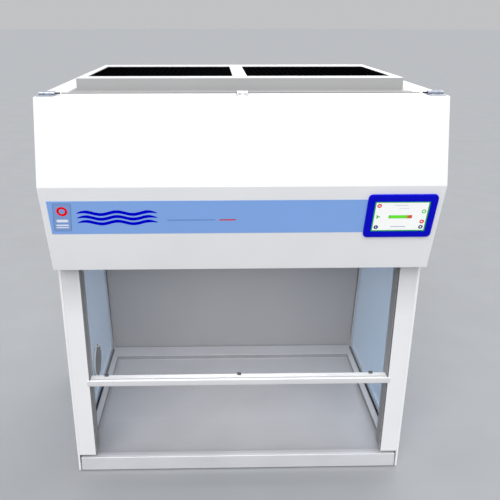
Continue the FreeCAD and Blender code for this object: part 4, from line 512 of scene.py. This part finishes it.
def tidy(mesh, crease):
    """Merges a mesh's doubles, turns its faces outwards and smooths all but its creases."""
    built = bmesh.new()
    built.from_mesh(mesh)
    bmesh.ops.remove_doubles(built, verts=built.verts, dist=MERGE)
    bmesh.ops.recalc_face_normals(built, faces=built.faces)
    built.to_mesh(mesh)
    built.free()
    mesh.shade_smooth()
    mesh.set_sharp_from_angle(angle=math.radians(crease))


def adopt(name, mesh, body, material):
    """Puts a mesh into the scene as a piece that rides on a body."""
    piece = bpy.data.objects.new(name, mesh)
    bpy.context.scene.collection.objects.link(piece)
    mesh.materials.append(material)
    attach(piece, body)
    return piece


def quads(rows, columns, wrap_rows, wrap_columns):
    """Corner numbers of a grid's quads, joined round in each direction that wraps."""
    row = np.arange(rows if wrap_rows else rows - 1)[:, None]
    column = np.arange(columns if wrap_columns else columns - 1)[None, :]
    below = ((row + 1) % rows) * columns
    beside = (column + 1) % columns
    faces = [row * columns + column, row * columns + beside, below + beside, below + column]
    return np.stack(faces, axis=-1).reshape(-1, 4)


def surface(grid, wrap_rows=False, wrap_columns=False):
    """Points and quads of a grid of places, shaped rows by columns by 3."""
    rows, columns, _ = grid.shape
    return grid.reshape(-1, 3), quads(rows, columns, wrap_rows, wrap_columns)


def merged(parts):
    """One set of points and quads from several."""
    starts = np.cumsum([0] + [len(points) for points, _ in parts[:-1]])
    points = np.concatenate([points for points, _ in parts])
    faces = np.concatenate([faces + start for (_, faces), start in zip(parts, starts)])
    return points, faces


def build(name, parts, body, material, crease=35):
    """Piece made of one or more surfaces."""
    points, faces = merged(parts)
    mesh = bpy.data.meshes.new(name)
    mesh.from_pydata(points.tolist(), [], faces.tolist())
    tidy(mesh, crease)
    return adopt(name, mesh, body, material)


def soften(node, material, radius):
    """Stands a merged copy of a CAD node, with rounded edges, in for the node."""
    source = frame["nodes"][node]
    mesh = source.data.copy()
    mesh.materials.clear()
    if "custom_normal" in mesh.attributes:
        mesh.attributes.remove(mesh.attributes["custom_normal"])
    built = bmesh.new()
    built.from_mesh(mesh)
    bmesh.ops.remove_doubles(built, verts=built.verts, dist=MERGE)
    bmesh.ops.dissolve_limit(built, angle_limit=math.radians(0.5), verts=built.verts,
                             edges=built.edges)
    built.to_mesh(mesh)
    built.free()
    mesh.shade_smooth()
    mesh.set_sharp_from_angle(angle=SHARP)
    piece = adopt(node + ".finished", mesh, BODY_OF[node], material)
    bevel = piece.modifiers.new("folded_edges", "BEVEL")
    bevel.width = radius
    bevel.segments = 2
    bevel.limit_method = "ANGLE"
    bevel.angle_limit = SHARP
    bevel.harden_normals = True
    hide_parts(node)
    return piece


def coat(node, material):
    """Gives a CAD node that keeps its own shape a better material."""
    for slot in frame["nodes"][node].material_slots:
        slot.material = material


# ---------------------------------------------------------------- finishes of the CAD nodes

FOLDED = 0.9 * MM
CUT = 0.35 * MM
FINE = 0.2 * MM
SOFTENED = {
    "side_panel_left": (WHITE, FOLDED), "side_panel_right": (WHITE, FOLDED),
    "pillar_left": (PILLAR, FOLDED), "pillar_right": (PILLAR, FOLDED),
    "back_panel": (WHITE, CUT), "roof_panel": (ROOF, CUT), "fascia_cover": (WHITE, FOLDED),
    "exhaust_collar": (COLLAR, CUT), "rear_baffle": (GREY, CUT),
    "chamber_ceiling": (GREY, CUT), "work_tray": (TRAY, CUT), "base_frame": (ZINC, CUT),
    "front_bulkhead": (ZINC, CUT), "sash_bar": (BAR_WHITE, 0.6 * MM),
    "sash_bumpers": (RUBBER, 1.2 * MM), "rubber_feet": (RUBBER, 1.5 * MM),
    "display_bezel": (BEZEL_BLUE, FINE), "display_screen": (LIT_WHITE, FINE),
    "label_strip": (BLUE_FILM, FINE), "port_ring": (RING_PLASTIC, 0.5 * MM),
    "port_cover": (COVER_STEEL, 0.5 * MM), "hinge_roof_leaves": (HINGE_STEEL, CUT),
    "hinge_cover_leaves": (HINGE_STEEL, CUT), "hinge_pins": (DARK_STEEL, CUT),
    "mains_inlet": (BLACK_PLASTIC, CUT), "rocker_switch": (BLACK_PLASTIC, CUT),
    "counterweight_left": (IRON, 1.0 * MM), "counterweight_right": (IRON, 1.0 * MM),
    "sash_hangers": (ZINC, CUT), "pulley_left": (GREY_PLASTIC, CUT),
    "pulley_right": (GREY_PLASTIC, CUT), "lamp_diffuser": (OPAL, CUT),
}
COATED = {
    "side_window_left": WINDOW, "side_window_right": WINDOW, "sash_glass": SASH,
    "display_housing": BLACK_PLASTIC, "exhaust_meshes": BLACK_PAINT,
    "carbon_filter_left": CASSETTE, "carbon_filter_right": CASSETTE, "prefilter_frame": ZINC,
    "lamp_housing": ZINC, "fan_plate": ZINC, "fan_inlet_rings": ZINC, "fan_bridges": ZINC,
    "fan_motor_left": MOTOR_BLACK, "fan_motor_right": MOTOR_BLACK,
    "fan_impeller_left": BLACK_PLASTIC, "fan_impeller_right": BLACK_PLASTIC,
    "filter_shelf": ZINC, "control_box": ZINC, "main_circuit_board": BOARD,
    "gas_sensor": GREY_PLASTIC, "pulley_brackets": ZINC,
}
for node, (material, radius) in SOFTENED.items():
    soften(node, material, radius)
for node, material in COATED.items():
    coat(node, material)

# ---------------------------------------------------------------- display and badge

BAND_BACK = 70 * MM
BAND_DROP = 243.5 * MM
BAND_LENGTH = math.hypot(BAND_BACK, BAND_DROP)
RIGHT = np.array((1.0, 0.0, 0.0))
UP = np.array((0.0, -BAND_BACK, BAND_DROP)) / BAND_LENGTH
OUT = np.array((0.0, -BAND_DROP, -BAND_BACK)) / BAND_LENGTH
SCREEN_THICK = 3 * MM
INK = 0.12 * MM


def on_plane(centre, flat, height):
    """Places points of a plane with its own right, up and outward directions."""
    return (centre + flat[..., 0, None] * RIGHT + flat[..., 1, None] * UP
            + np.asarray(height)[..., None] * OUT)


def oval(radius, steps=40, lobes=0, depth=0.0):
    """Outline whose radius is even, or swells and shrinks a number of times on the way round."""
    angle = np.linspace(0, 2 * math.pi, steps, endpoint=False)
    reach = radius * (1 + depth * np.cos(lobes * angle))
    return np.stack([reach * np.cos(angle), reach * np.sin(angle)], axis=-1)


def rounded(width, height, corner, steps=6):
    """Rectangle's outline with quarter circles at its corners."""
    angle = np.linspace(0, math.pi / 2, steps)
    quarter = np.stack([np.cos(angle), np.sin(angle)], axis=-1) * corner
    turned = [quarter, quarter[:, ::-1] * (-1, 1), -quarter, quarter[:, ::-1] * (1, -1)]
    centres = np.array(((1, 1), (-1, 1), (-1, -1), (1, -1))) * (width / 2 - corner,
                                                                height / 2 - corner)
    return np.concatenate([arc + centre for arc, centre in zip(turned, centres)])


def slab(centre, outline, offset, thick, base=0.0):
    """Closed flat shape: the outline at two heights, each closed by its own middle point."""
    flat = outline + offset
    hub = np.broadcast_to(np.asarray(offset, float), flat.shape)
    rows = [(hub, base), (flat, base), (flat, base + thick), (hub, base + thick)]
    grid = np.stack([on_plane(centre, points, np.full(len(points), height))
                     for points, height in rows])
    return surface(grid, wrap_columns=True)


def loop(centre, outer, inner, offset, thick, base=0.0):
    """Closed flat ring between two outlines with as many points each."""
    rows = [(outer, base), (outer, base + thick), (inner, base + thick), (inner, base)]
    grid = np.stack([on_plane(centre, points + offset, np.full(len(points), height))
                     for points, height in rows])
    return surface(grid, wrap_rows=True, wrap_columns=True)


SCREEN_FACE = middle("display_screen") + OUT * SCREEN_THICK / 2
SCREEN_WIDE = 138.5 * MM
SCREEN_TALL = 89 * MM
GREEN = (0.03, 0.34, 0.01)
BRIGHT_GREEN = (0.06, 0.45, 0.03)
RED = (0.62, 0.01, 0.03)
NAVY = (0.01, 0.03, 0.14)
PALE_GREY = (0.50, 0.52, 0.60)
COLUMN = 57.3 * MM
ICON = 5.8 * MM


def icon_ring(across, up, radius=ICON, wall=0.42):
    """Ring symbol on the screen."""
    return loop(SCREEN_FACE, oval(radius), oval(radius * (1 - wall)), (across, up), INK)


def icon_bar(across, up, wide, tall):
    """Round-ended line on the screen."""
    return slab(SCREEN_FACE, rounded(wide, tall, tall * 0.49), (across, up), INK)


def screen_piece(name, parts, colour):
    return build(name, parts, "fascia", unglossed(lit_face(name + "_ink", colour)))


def display_symbols():
    """Frame, symbols and gauge of the touch display, as thin layers on its face."""
    wide, tall = SCREEN_WIDE - 0.3 * MM, SCREEN_TALL - 0.3 * MM
    both_sides = 6.4 * MM
    frame_outer = rounded(wide, tall, 1 * MM)
    frame_inner = rounded(wide - both_sides, tall - both_sides, 0.6 * MM)
    screen_piece("screen_frame", [loop(SCREEN_FACE, frame_outer, frame_inner, (0, 0), INK)], GREEN)
    low = 32 * MM
    screen_piece("screen_red_symbols", [
        loop(SCREEN_FACE, oval(ICON, 48), rounded(6.6 * MM, 2.6 * MM, 1.25 * MM, 12),
             (-COLUMN, low), INK),
        icon_ring(COLUMN, -15.5 * MM, ICON, 0.6)], RED)
    screen_piece("screen_green_symbols", [
        icon_ring(COLUMN, 15 * MM, ICON, 0.46),
        slab(SCREEN_FACE, oval(3.9 * MM, 48, 3, 0.5), (-COLUMN, -0.6 * MM), INK)], BRIGHT_GREEN)
    screen_piece("screen_pale_symbol", [
        slab(SCREEN_FACE, oval(3.2 * MM, 48, 4, 0.3), (COLUMN, 0), INK)], (0.60, 0.85, 0.62))
    screen_piece("screen_navy_symbols", [
        icon_ring(-COLUMN, -low, ICON, 0.72),
        loop(SCREEN_FACE, oval(ICON, 48, 8, 0.06), oval(ICON * 0.4, 48), (COLUMN, -low), INK)],
        NAVY)
    screen_piece("screen_lines", [
        icon_bar(-1.5 * MM, 33 * MM, 34 * MM, 2.0 * MM),
        icon_bar(6 * MM, 24.5 * MM, 26 * MM, 1.4 * MM)], PALE_GREY)
    screen_piece("screen_footer", [icon_bar(-1.5 * MM, -30.5 * MM, 38 * MM, 1.8 * MM)],
                 (0.22, 0.28, 0.48))
    half = 29.6 * MM
    gauge = gauge_face("screen_gauge_ink", SCREEN_FACE[0] - half, SCREEN_FACE[0] + half)
    bar = slab(SCREEN_FACE, rounded(2 * half, 9.6 * MM, 1 * MM), (0, -0.8 * MM), INK)
    build("screen_gauge", [bar], "fascia", gauge)


def leaning(flat):
    """Leans a badge's outline or place over to the side as it rises."""
    flat = np.array(flat, float)
    flat[..., 0] += 0.10 * flat[..., 1]
    return flat


def badge():
    """Plain printed badge at the left end of the strip: a panel, its border and generic marks."""
    low, high = corners("label_strip")
    strip = (low + high) / 2
    centre = np.array((low[0] + 33 * MM, strip[1], strip[2])) + OUT * 0.3 * MM + UP * 1.5 * MM
    wide, tall = 45 * MM, 82 * MM
    both_sides = 2.4 * MM
    panel = leaning(rounded(wide, tall, 4 * MM))
    border = leaning(rounded(wide - both_sides, tall - both_sides, 3 * MM))
    build("badge_panel", [slab(centre, border, (0, 0), INK)], "fascia",
          printed_film("badge_film", (0.20, 0.33, 0.64)))
    build("badge_border", [loop(centre, panel, border, (0, 0), INK * 1.5)], "fascia",
          printed_film("badge_border_film", (0.09, 0.17, 0.44)))
    build("badge_mark", [loop(centre, oval(13.5 * MM), oval(7.5 * MM), leaning((0, 18 * MM)),
                              INK * 1.6)], "fascia",
          unglossed(printed_film("badge_red_film", (0.90, 0.0, 0.0))))
    lines = [slab(centre, rounded(width, height, height * 0.49), leaning((0, up)), INK * 1.6)
             for up, width, height in ((-10 * MM, 30 * MM, 8 * MM), (-23 * MM, 32 * MM, 4 * MM),
                                       (-30 * MM, 32 * MM, 3 * MM))]
    build("badge_lines", lines, "fascia",
          printed_film("badge_white_film", (0.8, 0.85, 0.95)))


def wave(centre, start, length, up, swell, thick):
    """Printed wavy line: a band carried along a sine whose width tapers off at both ends."""
    count = 72
    high = INK * 1.5
    along = np.linspace(0, 1, count)
    middle_line = up + swell * np.sin(2 * math.pi * 2.5 * along)
    half = thick / 2 * np.clip(8 * np.minimum(along, 1 - along), 0.06, 1) ** 0.5
    x = start + length * along
    rows = [(middle_line - half, 0), (middle_line - half, high), (middle_line + half, high),
            (middle_line + half, 0)]
    grid = np.stack([on_plane(centre, np.stack([x, y], -1), np.full(count, height))
                     for y, height in rows])
    ends = [np.broadcast_to(grid[:, place].mean(axis=0), (4, 1, 3)) for place in (0, -1)]
    return surface(np.concatenate([ends[0], grid, ends[1]], axis=1), wrap_rows=True)


def airflow_mark():
    """Generic airflow waves and two plain dashes beside the badge."""
    low, high = corners("label_strip")
    centre = (low + high) / 2 + OUT * 0.3 * MM
    centre[0] = low[0] + 70 * MM
    waves = [wave(centre, 0, 200 * MM, up, 4 * MM, 9 * MM) for up in (-14 * MM, 0, 14 * MM)]
    build("strip_waves", waves, "fascia",
          unglossed(printed_film("wave_film", (0.0, 0.0, 0.58))))
    dash = [slab(centre, rounded(120 * MM, 3 * MM, 1.4 * MM), (285 * MM, -8 * MM), INK * 1.5)]
    build("strip_dash", dash, "fascia",
          printed_film("dash_film", (0.13, 0.25, 0.56)))
    short = [slab(centre, rounded(42 * MM, 4 * MM, 1.9 * MM), (376 * MM, -8 * MM), INK * 1.5)]
    build("strip_short_dash", short, "fascia",
          printed_film("short_dash_film", (0.62, 0.03, 0.08)))


# ---------------------------------------------------------------- dark strips standing in for shade in joints, and the bar's front


def roof_shade_seal():
    """Grey sponge seal across the roof behind the hinges, a dark line that stands in for the shade
    in the joint there: a low half round carried along X.
    """
    leaf_back = corners("hinge_roof_leaves")[1]
    y = leaf_back[1] + 15 * MM
    top = corners("roof_panel")[1][2]
    outer = leaf_back[0] - 45 * MM
    angle = np.linspace(0, math.pi, 12)
    across, up = 3.0 * MM * np.cos(angle), 1.7 * MM * np.sin(angle)
    grid = np.stack([np.stack([np.full(12, x), y + across * reach, top + up * reach], -1)
                     for x, reach in ((-outer, 0), (-outer, 1), (outer, 1), (outer, 0))])
    build("roof_shade_seal", [surface(grid, wrap_columns=True)], "cabinet",
          rubber("shade_seal_sponge", (0.10, 0.10, 0.11)))


def bead(y_low, y_high, x, z, radius):
    """Round rubber bead along Y: a circle carried between two closed ends."""
    angle = np.linspace(0, 2 * math.pi, 16, endpoint=False)
    across, up = radius * np.cos(angle), radius * np.sin(angle)
    grid = np.stack([np.stack([x + across * reach, np.full(16, y), z + up * reach], -1)
                     for y, reach in ((y_low, 0), (y_low, 1), (y_high, 1), (y_high, 0))])
    return surface(grid, wrap_columns=True)


def tray_shade_beads():
    """Dark rubber beads along the joints between the tray's sides and the side panels, put there
    as painted shade for the shaded gaps.
    """
    tray_high = corners("work_tray")[1]
    front = corners("pillar_right")[1][1] + 1 * MM
    radius = 2.6 * MM
    beads = [bead(front, tray_high[1] - 20 * MM, side * (tray_high[0] - radius),
                  tray_high[2] + 0.6 * radius, radius) for side in (-1, 1)]
    build("tray_shade_beads", beads, "cabinet", RUBBER)


def bar_front():
    """Front strip of the sash bar, which laps over both pillars: the bar's own front outline,
    3 mm deep, carried along X."""
    low, high = corners("sash_bar")
    lap = high[0] + 7.5 * MM
    front = low[1] - 0.25 * MM
    outline = MM * np.array(((0, 0), (-1.6, -0.4), (-2.2, -1.2), (-2.3, -9), (-0.4, -18.6),
                             (0, -19)))
    outline += (front, high[2])
    hub = np.broadcast_to(outline.mean(axis=0), outline.shape)
    inner = hub + (outline - hub) * 0.7
    round_end = 0.4 * MM
    rows = ((hub, -lap), (inner, -lap), (outline, round_end - lap), (outline, lap - round_end),
            (inner, lap), (hub, lap))
    grid = np.stack([np.stack([np.full(len(flat), x), flat[:, 0], flat[:, 1]], -1)
                     for flat, x in rows])
    build("sash_bar_front", [surface(grid, wrap_columns=True)], "sash",
          BAR_WHITE, 30)


display_symbols()
badge()
tray_shade_beads()
bar_front()
airflow_mark()
roof_shade_seal()

# ---------------------------------------------------------------- screws


def screw_head(centre, normal, radius, height, slot=0.16):
    """Domed head with a cross recess: height falls off as the square of the radius, and points
    near either of two crossed lines sink below it."""
    normal = np.asarray(normal, float)
    side = np.cross(normal, (0.31, 0.87, 0.38))
    side /= np.linalg.norm(side)
    across = np.cross(normal, side)
    share = np.concatenate([np.linspace(0, 0.98, 9), (1.0, 1.0, 0.0)])[:, None]
    angle = np.linspace(0, 2 * math.pi, 32, endpoint=False)[None, :]
    x = share * np.cos(angle)
    y = share * np.sin(angle)
    rise = np.where(share < 1, 1 - 0.45 * share ** 2, 0.55) + 0 * angle
    narrow = np.minimum(np.abs(x), np.abs(y)) < slot * (1 - 0.5 * share)
    sunk = narrow & (share < 0.62)
    rise = np.where(sunk, 0.35, rise)
    rise[-2:] = 0
    grid = (np.asarray(centre) + radius * (x[..., None] * side + y[..., None] * across)
            + height * rise[..., None] * normal)
    return surface(grid, wrap_columns=True)


def back_screws():
    """Screws of the back panel, one on each of the places that the node gives."""
    low, high = corners("panel_screws")
    radius = 4 * MM
    panel_back = corners("back_panel")[1][1]
    places = [(x, z) for x in (low[0] + radius, high[0] - radius)
              for z in np.linspace(low[2] + radius, high[2] - radius, 7)]
    heads = [screw_head((x, panel_back, z), (0, 1, 0), radius, 2.2 * MM) for x, z in places]
    piece = build("back_screw_heads", heads, "cabinet", SCREW_STEEL, 50)
    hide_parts("panel_screws")


def hinge_screws():
    """Countersunk screws that hold the leaves, two in each leaf."""
    outer, roof_back, _ = corners("hinge_roof_leaves")[1]
    cover_front = corners("hinge_cover_leaves")[0][1]
    leaf_thick = 2 * MM
    from_edge = 10 * MM
    top = corners("roof_panel")[1][2] + leaf_thick
    for name, body, y in (("roof_leaf_screws", "cabinet", roof_back - from_edge),
                          ("cover_leaf_screws", "fascia", cover_front + from_edge)):
        xs = [side * (outer - step) for side in (-1, 1) for step in (9 * MM, 30 * MM)]
        xs += [-8 * MM, 8 * MM]
        heads = [screw_head((x, y, top - 0.1 * MM), (0, 0, 1), 2.6 * MM, 0.9 * MM) for x in xs]
        build(name, heads, body, SCREW_STEEL, 50)


def pivot_screw():
    """Pivot screw of the port's cover."""
    low, high = corners("port_pivot_screw")
    radius = (high[2] - low[2]) / 2
    centre = (high[0] - 3 * MM, (low[1] + high[1]) / 2, (low[2] + high[2]) / 2)
    head = screw_head(centre, (1, 0, 0), radius, 3 * MM)
    angle = np.linspace(0, 2 * math.pi, 24, endpoint=False)
    ends = np.array((low[0], low[0], centre[0], centre[0]))
    reach = np.array((0, 3, 3, 0)) * MM
    grid = np.stack([np.stack([np.full(24, x), centre[1] + r * np.cos(angle),
                               centre[2] + r * np.sin(angle)], axis=-1)
                     for x, r in zip(ends, reach)])
    piece = build("port_pivot_screw_head", [head, surface(grid, wrap_columns=True)], "cabinet",
                  SCREW_STEEL, 50)
    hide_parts("port_pivot_screw")


back_screws()
hinge_screws()
pivot_screw()

# ---------------------------------------------------------------- filters


def granules(word):
    """Bed of carbon granules in the top of a filter: a level sheet raised to rounded heaps, each
    heap a falling square of the distance to the nearest of a jittered set of centres."""
    low, high = corners("carbon_filter_" + word)
    inset = 2.4 * MM
    heap = 2.4 * MM
    bed = high[2] - 3.9 * MM
    pitch = 5.2 * MM
    xs = np.arange(low[0] + inset, high[0] - inset, pitch / 3)
    ys = np.arange(low[1] + inset, high[1] - inset, pitch / 3)
    x, y = np.meshgrid(xs, ys, indexing="ij")
    random = np.random.default_rng(7)
    jitter = random.random((len(xs) // 3 + 3, len(ys) // 3 + 3, 2))
    column = (np.arange(len(xs)) // 3)[:, None] + np.zeros_like(ys, int)[None, :]
    row = (np.arange(len(ys)) // 3)[None, :] + np.zeros_like(xs, int)[:, None]
    nearest = np.full(x.shape, 9.0)
    for step_x in (0, 1, 2):
        for step_y in (0, 1, 2):
            cell = column + step_x, row + step_y
            spot = jitter[cell] + np.stack(cell, -1)
            gap_x = (x - xs[0]) / pitch + 1 - spot[..., 0]
            gap_y = (y - ys[0]) / pitch + 1 - spot[..., 1]
            nearest = np.minimum(nearest, gap_x ** 2 + gap_y ** 2)
    z = bed + heap * np.clip(1 - 1.6 * nearest, 0, 1)
    z[0], z[-1], z[:, 0], z[:, -1] = bed, bed, bed, bed
    grid = np.stack([x, y, z], axis=-1)
    under = np.stack([x, y, np.full(x.shape, bed - 0.02 * MM)], axis=-1)
    build("carbon_bed_" + word, [surface(grid), surface(under)], "cabinet", CARBON, 60)


FOLD = 0.97


def pleats():
    """Pleated prefilter: a zigzag section with rounded folds, carried from front to back."""
    low, high = corners("prefilter")
    count = 40
    steps = count * 8
    across = np.linspace(low[0], high[0], steps + 1)
    turn = np.linspace(0, count * 2 * math.pi, steps + 1)
    zigzag = np.arcsin(FOLD * np.sin(turn)) / math.asin(FOLD)
    middle_z = (low[2] + high[2]) / 2
    half = (high[2] - low[2]) / 2 - 0.8 * MM
    thick = 0.7 * MM
    section = np.concatenate([np.stack([across, middle_z + zigzag * half + thick], -1),
                              np.stack([across, middle_z + zigzag * half - thick], -1)[::-1]])
    depths = (low[1], low[1], high[1], high[1])
    hub = section.reshape(2, -1, 2)
    spine = (hub[0] + hub[1][::-1]) / 2
    spine = np.concatenate([spine, spine[::-1]])
    rows = [spine, section, section, spine]
    grid = np.stack([np.stack([row[:, 0], np.full(len(row), y), row[:, 1]], -1)
                     for row, y in zip(rows, depths)])
    piece = build("prefilter_pleats", [surface(grid, wrap_columns=True)], "cabinet",
                  FIBRE, 50)
    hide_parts("prefilter")


granules("left")
granules("right")
pleats()

# ---------------------------------------------------------------- wire ropes of the counterweights

ROPE = 1.0 * MM
LAY = 1.6 * MM


def stranded(radius, angle):
    """Reach of a rope's section at an angle: it swells at each of six strands."""
    return radius * (0.86 + 0.14 * np.abs(np.cos(3 * angle)))


def rope(x, y, top, bottom, radius=ROPE):
    """Upright wire rope: a round section whose radius swells at six strands that wind down it."""
    rows = max(2, int((top - bottom) / (0.9 * MM)))
    z = np.linspace(top, bottom, rows)[:, None]
    angle = np.linspace(0, 2 * math.pi, 18, endpoint=False)[None, :]
    reach = stranded(radius, angle + z / LAY)
    grid = np.stack([x + reach * np.cos(angle), y + reach * np.sin(angle), z + 0 * angle], -1)
    ends = [np.broadcast_to((x, y, level), (1, 18, 3)) for level in (top, bottom)]
    return surface(np.concatenate([ends[0], grid, ends[1]]), wrap_columns=True)


def wrapped_rope(centre, pitch, radius=ROPE):
    """Half turn of wire rope over a pulley: the same section carried round a half circle."""
    along = np.linspace(0, math.pi, 60)[:, None]
    angle = np.linspace(0, 2 * math.pi, 18, endpoint=False)[None, :]
    swell = stranded(radius, angle + along * pitch / LAY)
    reach = pitch + swell * np.cos(angle)
    grid = np.stack([centre[0] + reach * np.cos(along), centre[1] + swell * np.sin(angle),
                     centre[2] + reach * np.sin(along)], -1)
    first = np.broadcast_to((centre[0] + pitch, centre[1], centre[2]), (1, 18, 3))
    last = np.broadcast_to((centre[0] - pitch, centre[1], centre[2]), (1, 18, 3))
    return surface(np.concatenate([first, grid, last]), wrap_columns=True)


def ropes():
    """Ropes from the sash up over the pulleys and down to the weights."""
    wrap_low, wrap_high = corners("cable_wraps")
    pulley_z = corners("sash_cables")[1][2]
    y = (wrap_low[1] + wrap_high[1]) / 2
    pitch = (wrap_high[2] - pulley_z) - ROPE
    outer = wrap_high[0] - ROPE
    sash_x = outer - 2 * pitch
    hanger_z = corners("sash_cables")[0][2]
    sides = (-1, 1)
    wraps = [wrapped_rope((side * (outer - pitch), y, pulley_z), pitch) for side in sides]
    piece = build("rope_wraps", wraps, "cabinet", WIRE_ROPE, 60)
    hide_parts("cable_wraps")
    runs = [rope(side * sash_x, y, pulley_z, hanger_z) for side in sides]
    stretched("sash_ropes", runs, "sash_cables")
    for side, word in zip(sides, ("left", "right")):
        weight_z = corners("weight_cable_" + word)[0][2]
        run = [rope(side * outer, y, pulley_z, weight_z)]
        stretched(f"weight_rope_{word}", run, f"weight_cable_{word}")


def stretched(name, parts, node):
    """Rope made into a piece of its own, its points baked where they stand, with the CAD node it
    replaces hidden.
    """
    points, faces = merged(parts)
    mesh = bpy.data.meshes.new(name)
    mesh.from_pydata(points.tolist(), [], faces.tolist())
    tidy(mesh, 60)
    piece = bpy.data.objects.new(name, mesh)
    bpy.context.scene.collection.objects.link(piece)
    mesh.materials.append(WIRE_ROPE)
    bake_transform(piece)
    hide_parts(node)


ropes()

# ---------------------------------------------------------------- floor, light and camera


def floor():
    """Plain pale floor: a flat ring of points closed at its middle."""
    angle = np.linspace(0, 2 * math.pi, 96, endpoint=False)
    rows = [np.stack([r * np.cos(angle), r * np.sin(angle), np.zeros(96)], -1) for r in (0, 4, 80)]
    points, faces = surface(np.stack(rows), wrap_columns=True)
    mesh = bpy.data.meshes.new("floor")
    mesh.from_pydata(points.tolist(), [], faces.tolist())
    tidy(mesh, 30)
    piece = bpy.data.objects.new("floor", mesh)
    bpy.context.scene.collection.objects.link(piece)
    mesh.materials.append(unglossed(powder_coat("floor_paint", (0.345, 0.355, 0.37), 0.95)))


def sun(name, towards, power, softness, colour=(1.0, 1.0, 1.0)):
    """Even light from far away in the direction of a point, with shadows as soft as its angle."""
    data = bpy.data.lights.new(name, "SUN")
    data.energy = power
    data.angle = math.radians(softness)
    data.color = colour
    light = bpy.data.objects.new(name, data)
    light.rotation_euler = Vector(towards).to_track_quat("Z", "Y").to_euler()
    bpy.context.scene.collection.objects.link(light)


def chamber_light(power):
    """Light of the lamp under the chamber's ceiling, aimed at the rear wall."""
    low, high = corners("lamp_diffuser")
    data = bpy.data.lights.new("chamber_light", "AREA")
    data.shape = "RECTANGLE"
    data.size = 0.9 * (high[0] - low[0])
    data.size_y = 0.8 * (high[1] - low[1])
    data.energy = power
    data.spread = math.radians(130)
    light = bpy.data.objects.new("chamber_light", data)
    light.location = ((low[0] + high[0]) / 2, (low[1] + high[1]) / 2, low[2] - 2 * MM)
    light.rotation_euler = Euler((math.radians(28), 0, 0))
    bpy.context.scene.collection.objects.link(light)


def studio():
    """Soft light from above the front, from straight above and from behind, in a pale surround."""
    sun("key_light", (-0.16, -1.0, 0.92), 2.35, 50)
    sun("top_light", (0.1, 0.1, 1.0), 0.9, 60)
    sun("back_light", (0.5, 1.0, 0.55), 1.1, 50)
    chamber_light(1.6)
    world = bpy.data.worlds.new("pale_surround")
    world.use_nodes = True
    shell = world.node_tree.nodes["Background"]
    shell.inputs["Color"].default_value = (0.98, 0.985, 1.0, 1.0)
    shell.inputs["Strength"].default_value = 0.55
    bpy.context.scene.world = world
    bpy.context.scene.view_settings.view_transform = "Standard"


def camera():
    """Camera in front of the cupboard and a little above it."""
    data = bpy.data.cameras.new("camera")
    data.sensor_width = 36.0
    data.lens = 44.48
    data.shift_x = 0.0462
    data.shift_y = 0.0131
    data.clip_end = 100.0
    eye = bpy.data.objects.new("camera", data)
    eye.location = (-71.0 * MM, -1872.5 * MM, 1327.9 * MM)
    eye.rotation_euler = Euler((math.radians(68.83), 0, math.radians(-1.23)))
    bpy.context.scene.collection.objects.link(eye)
    bpy.context.scene.camera = eye


floor()
studio()
camera()
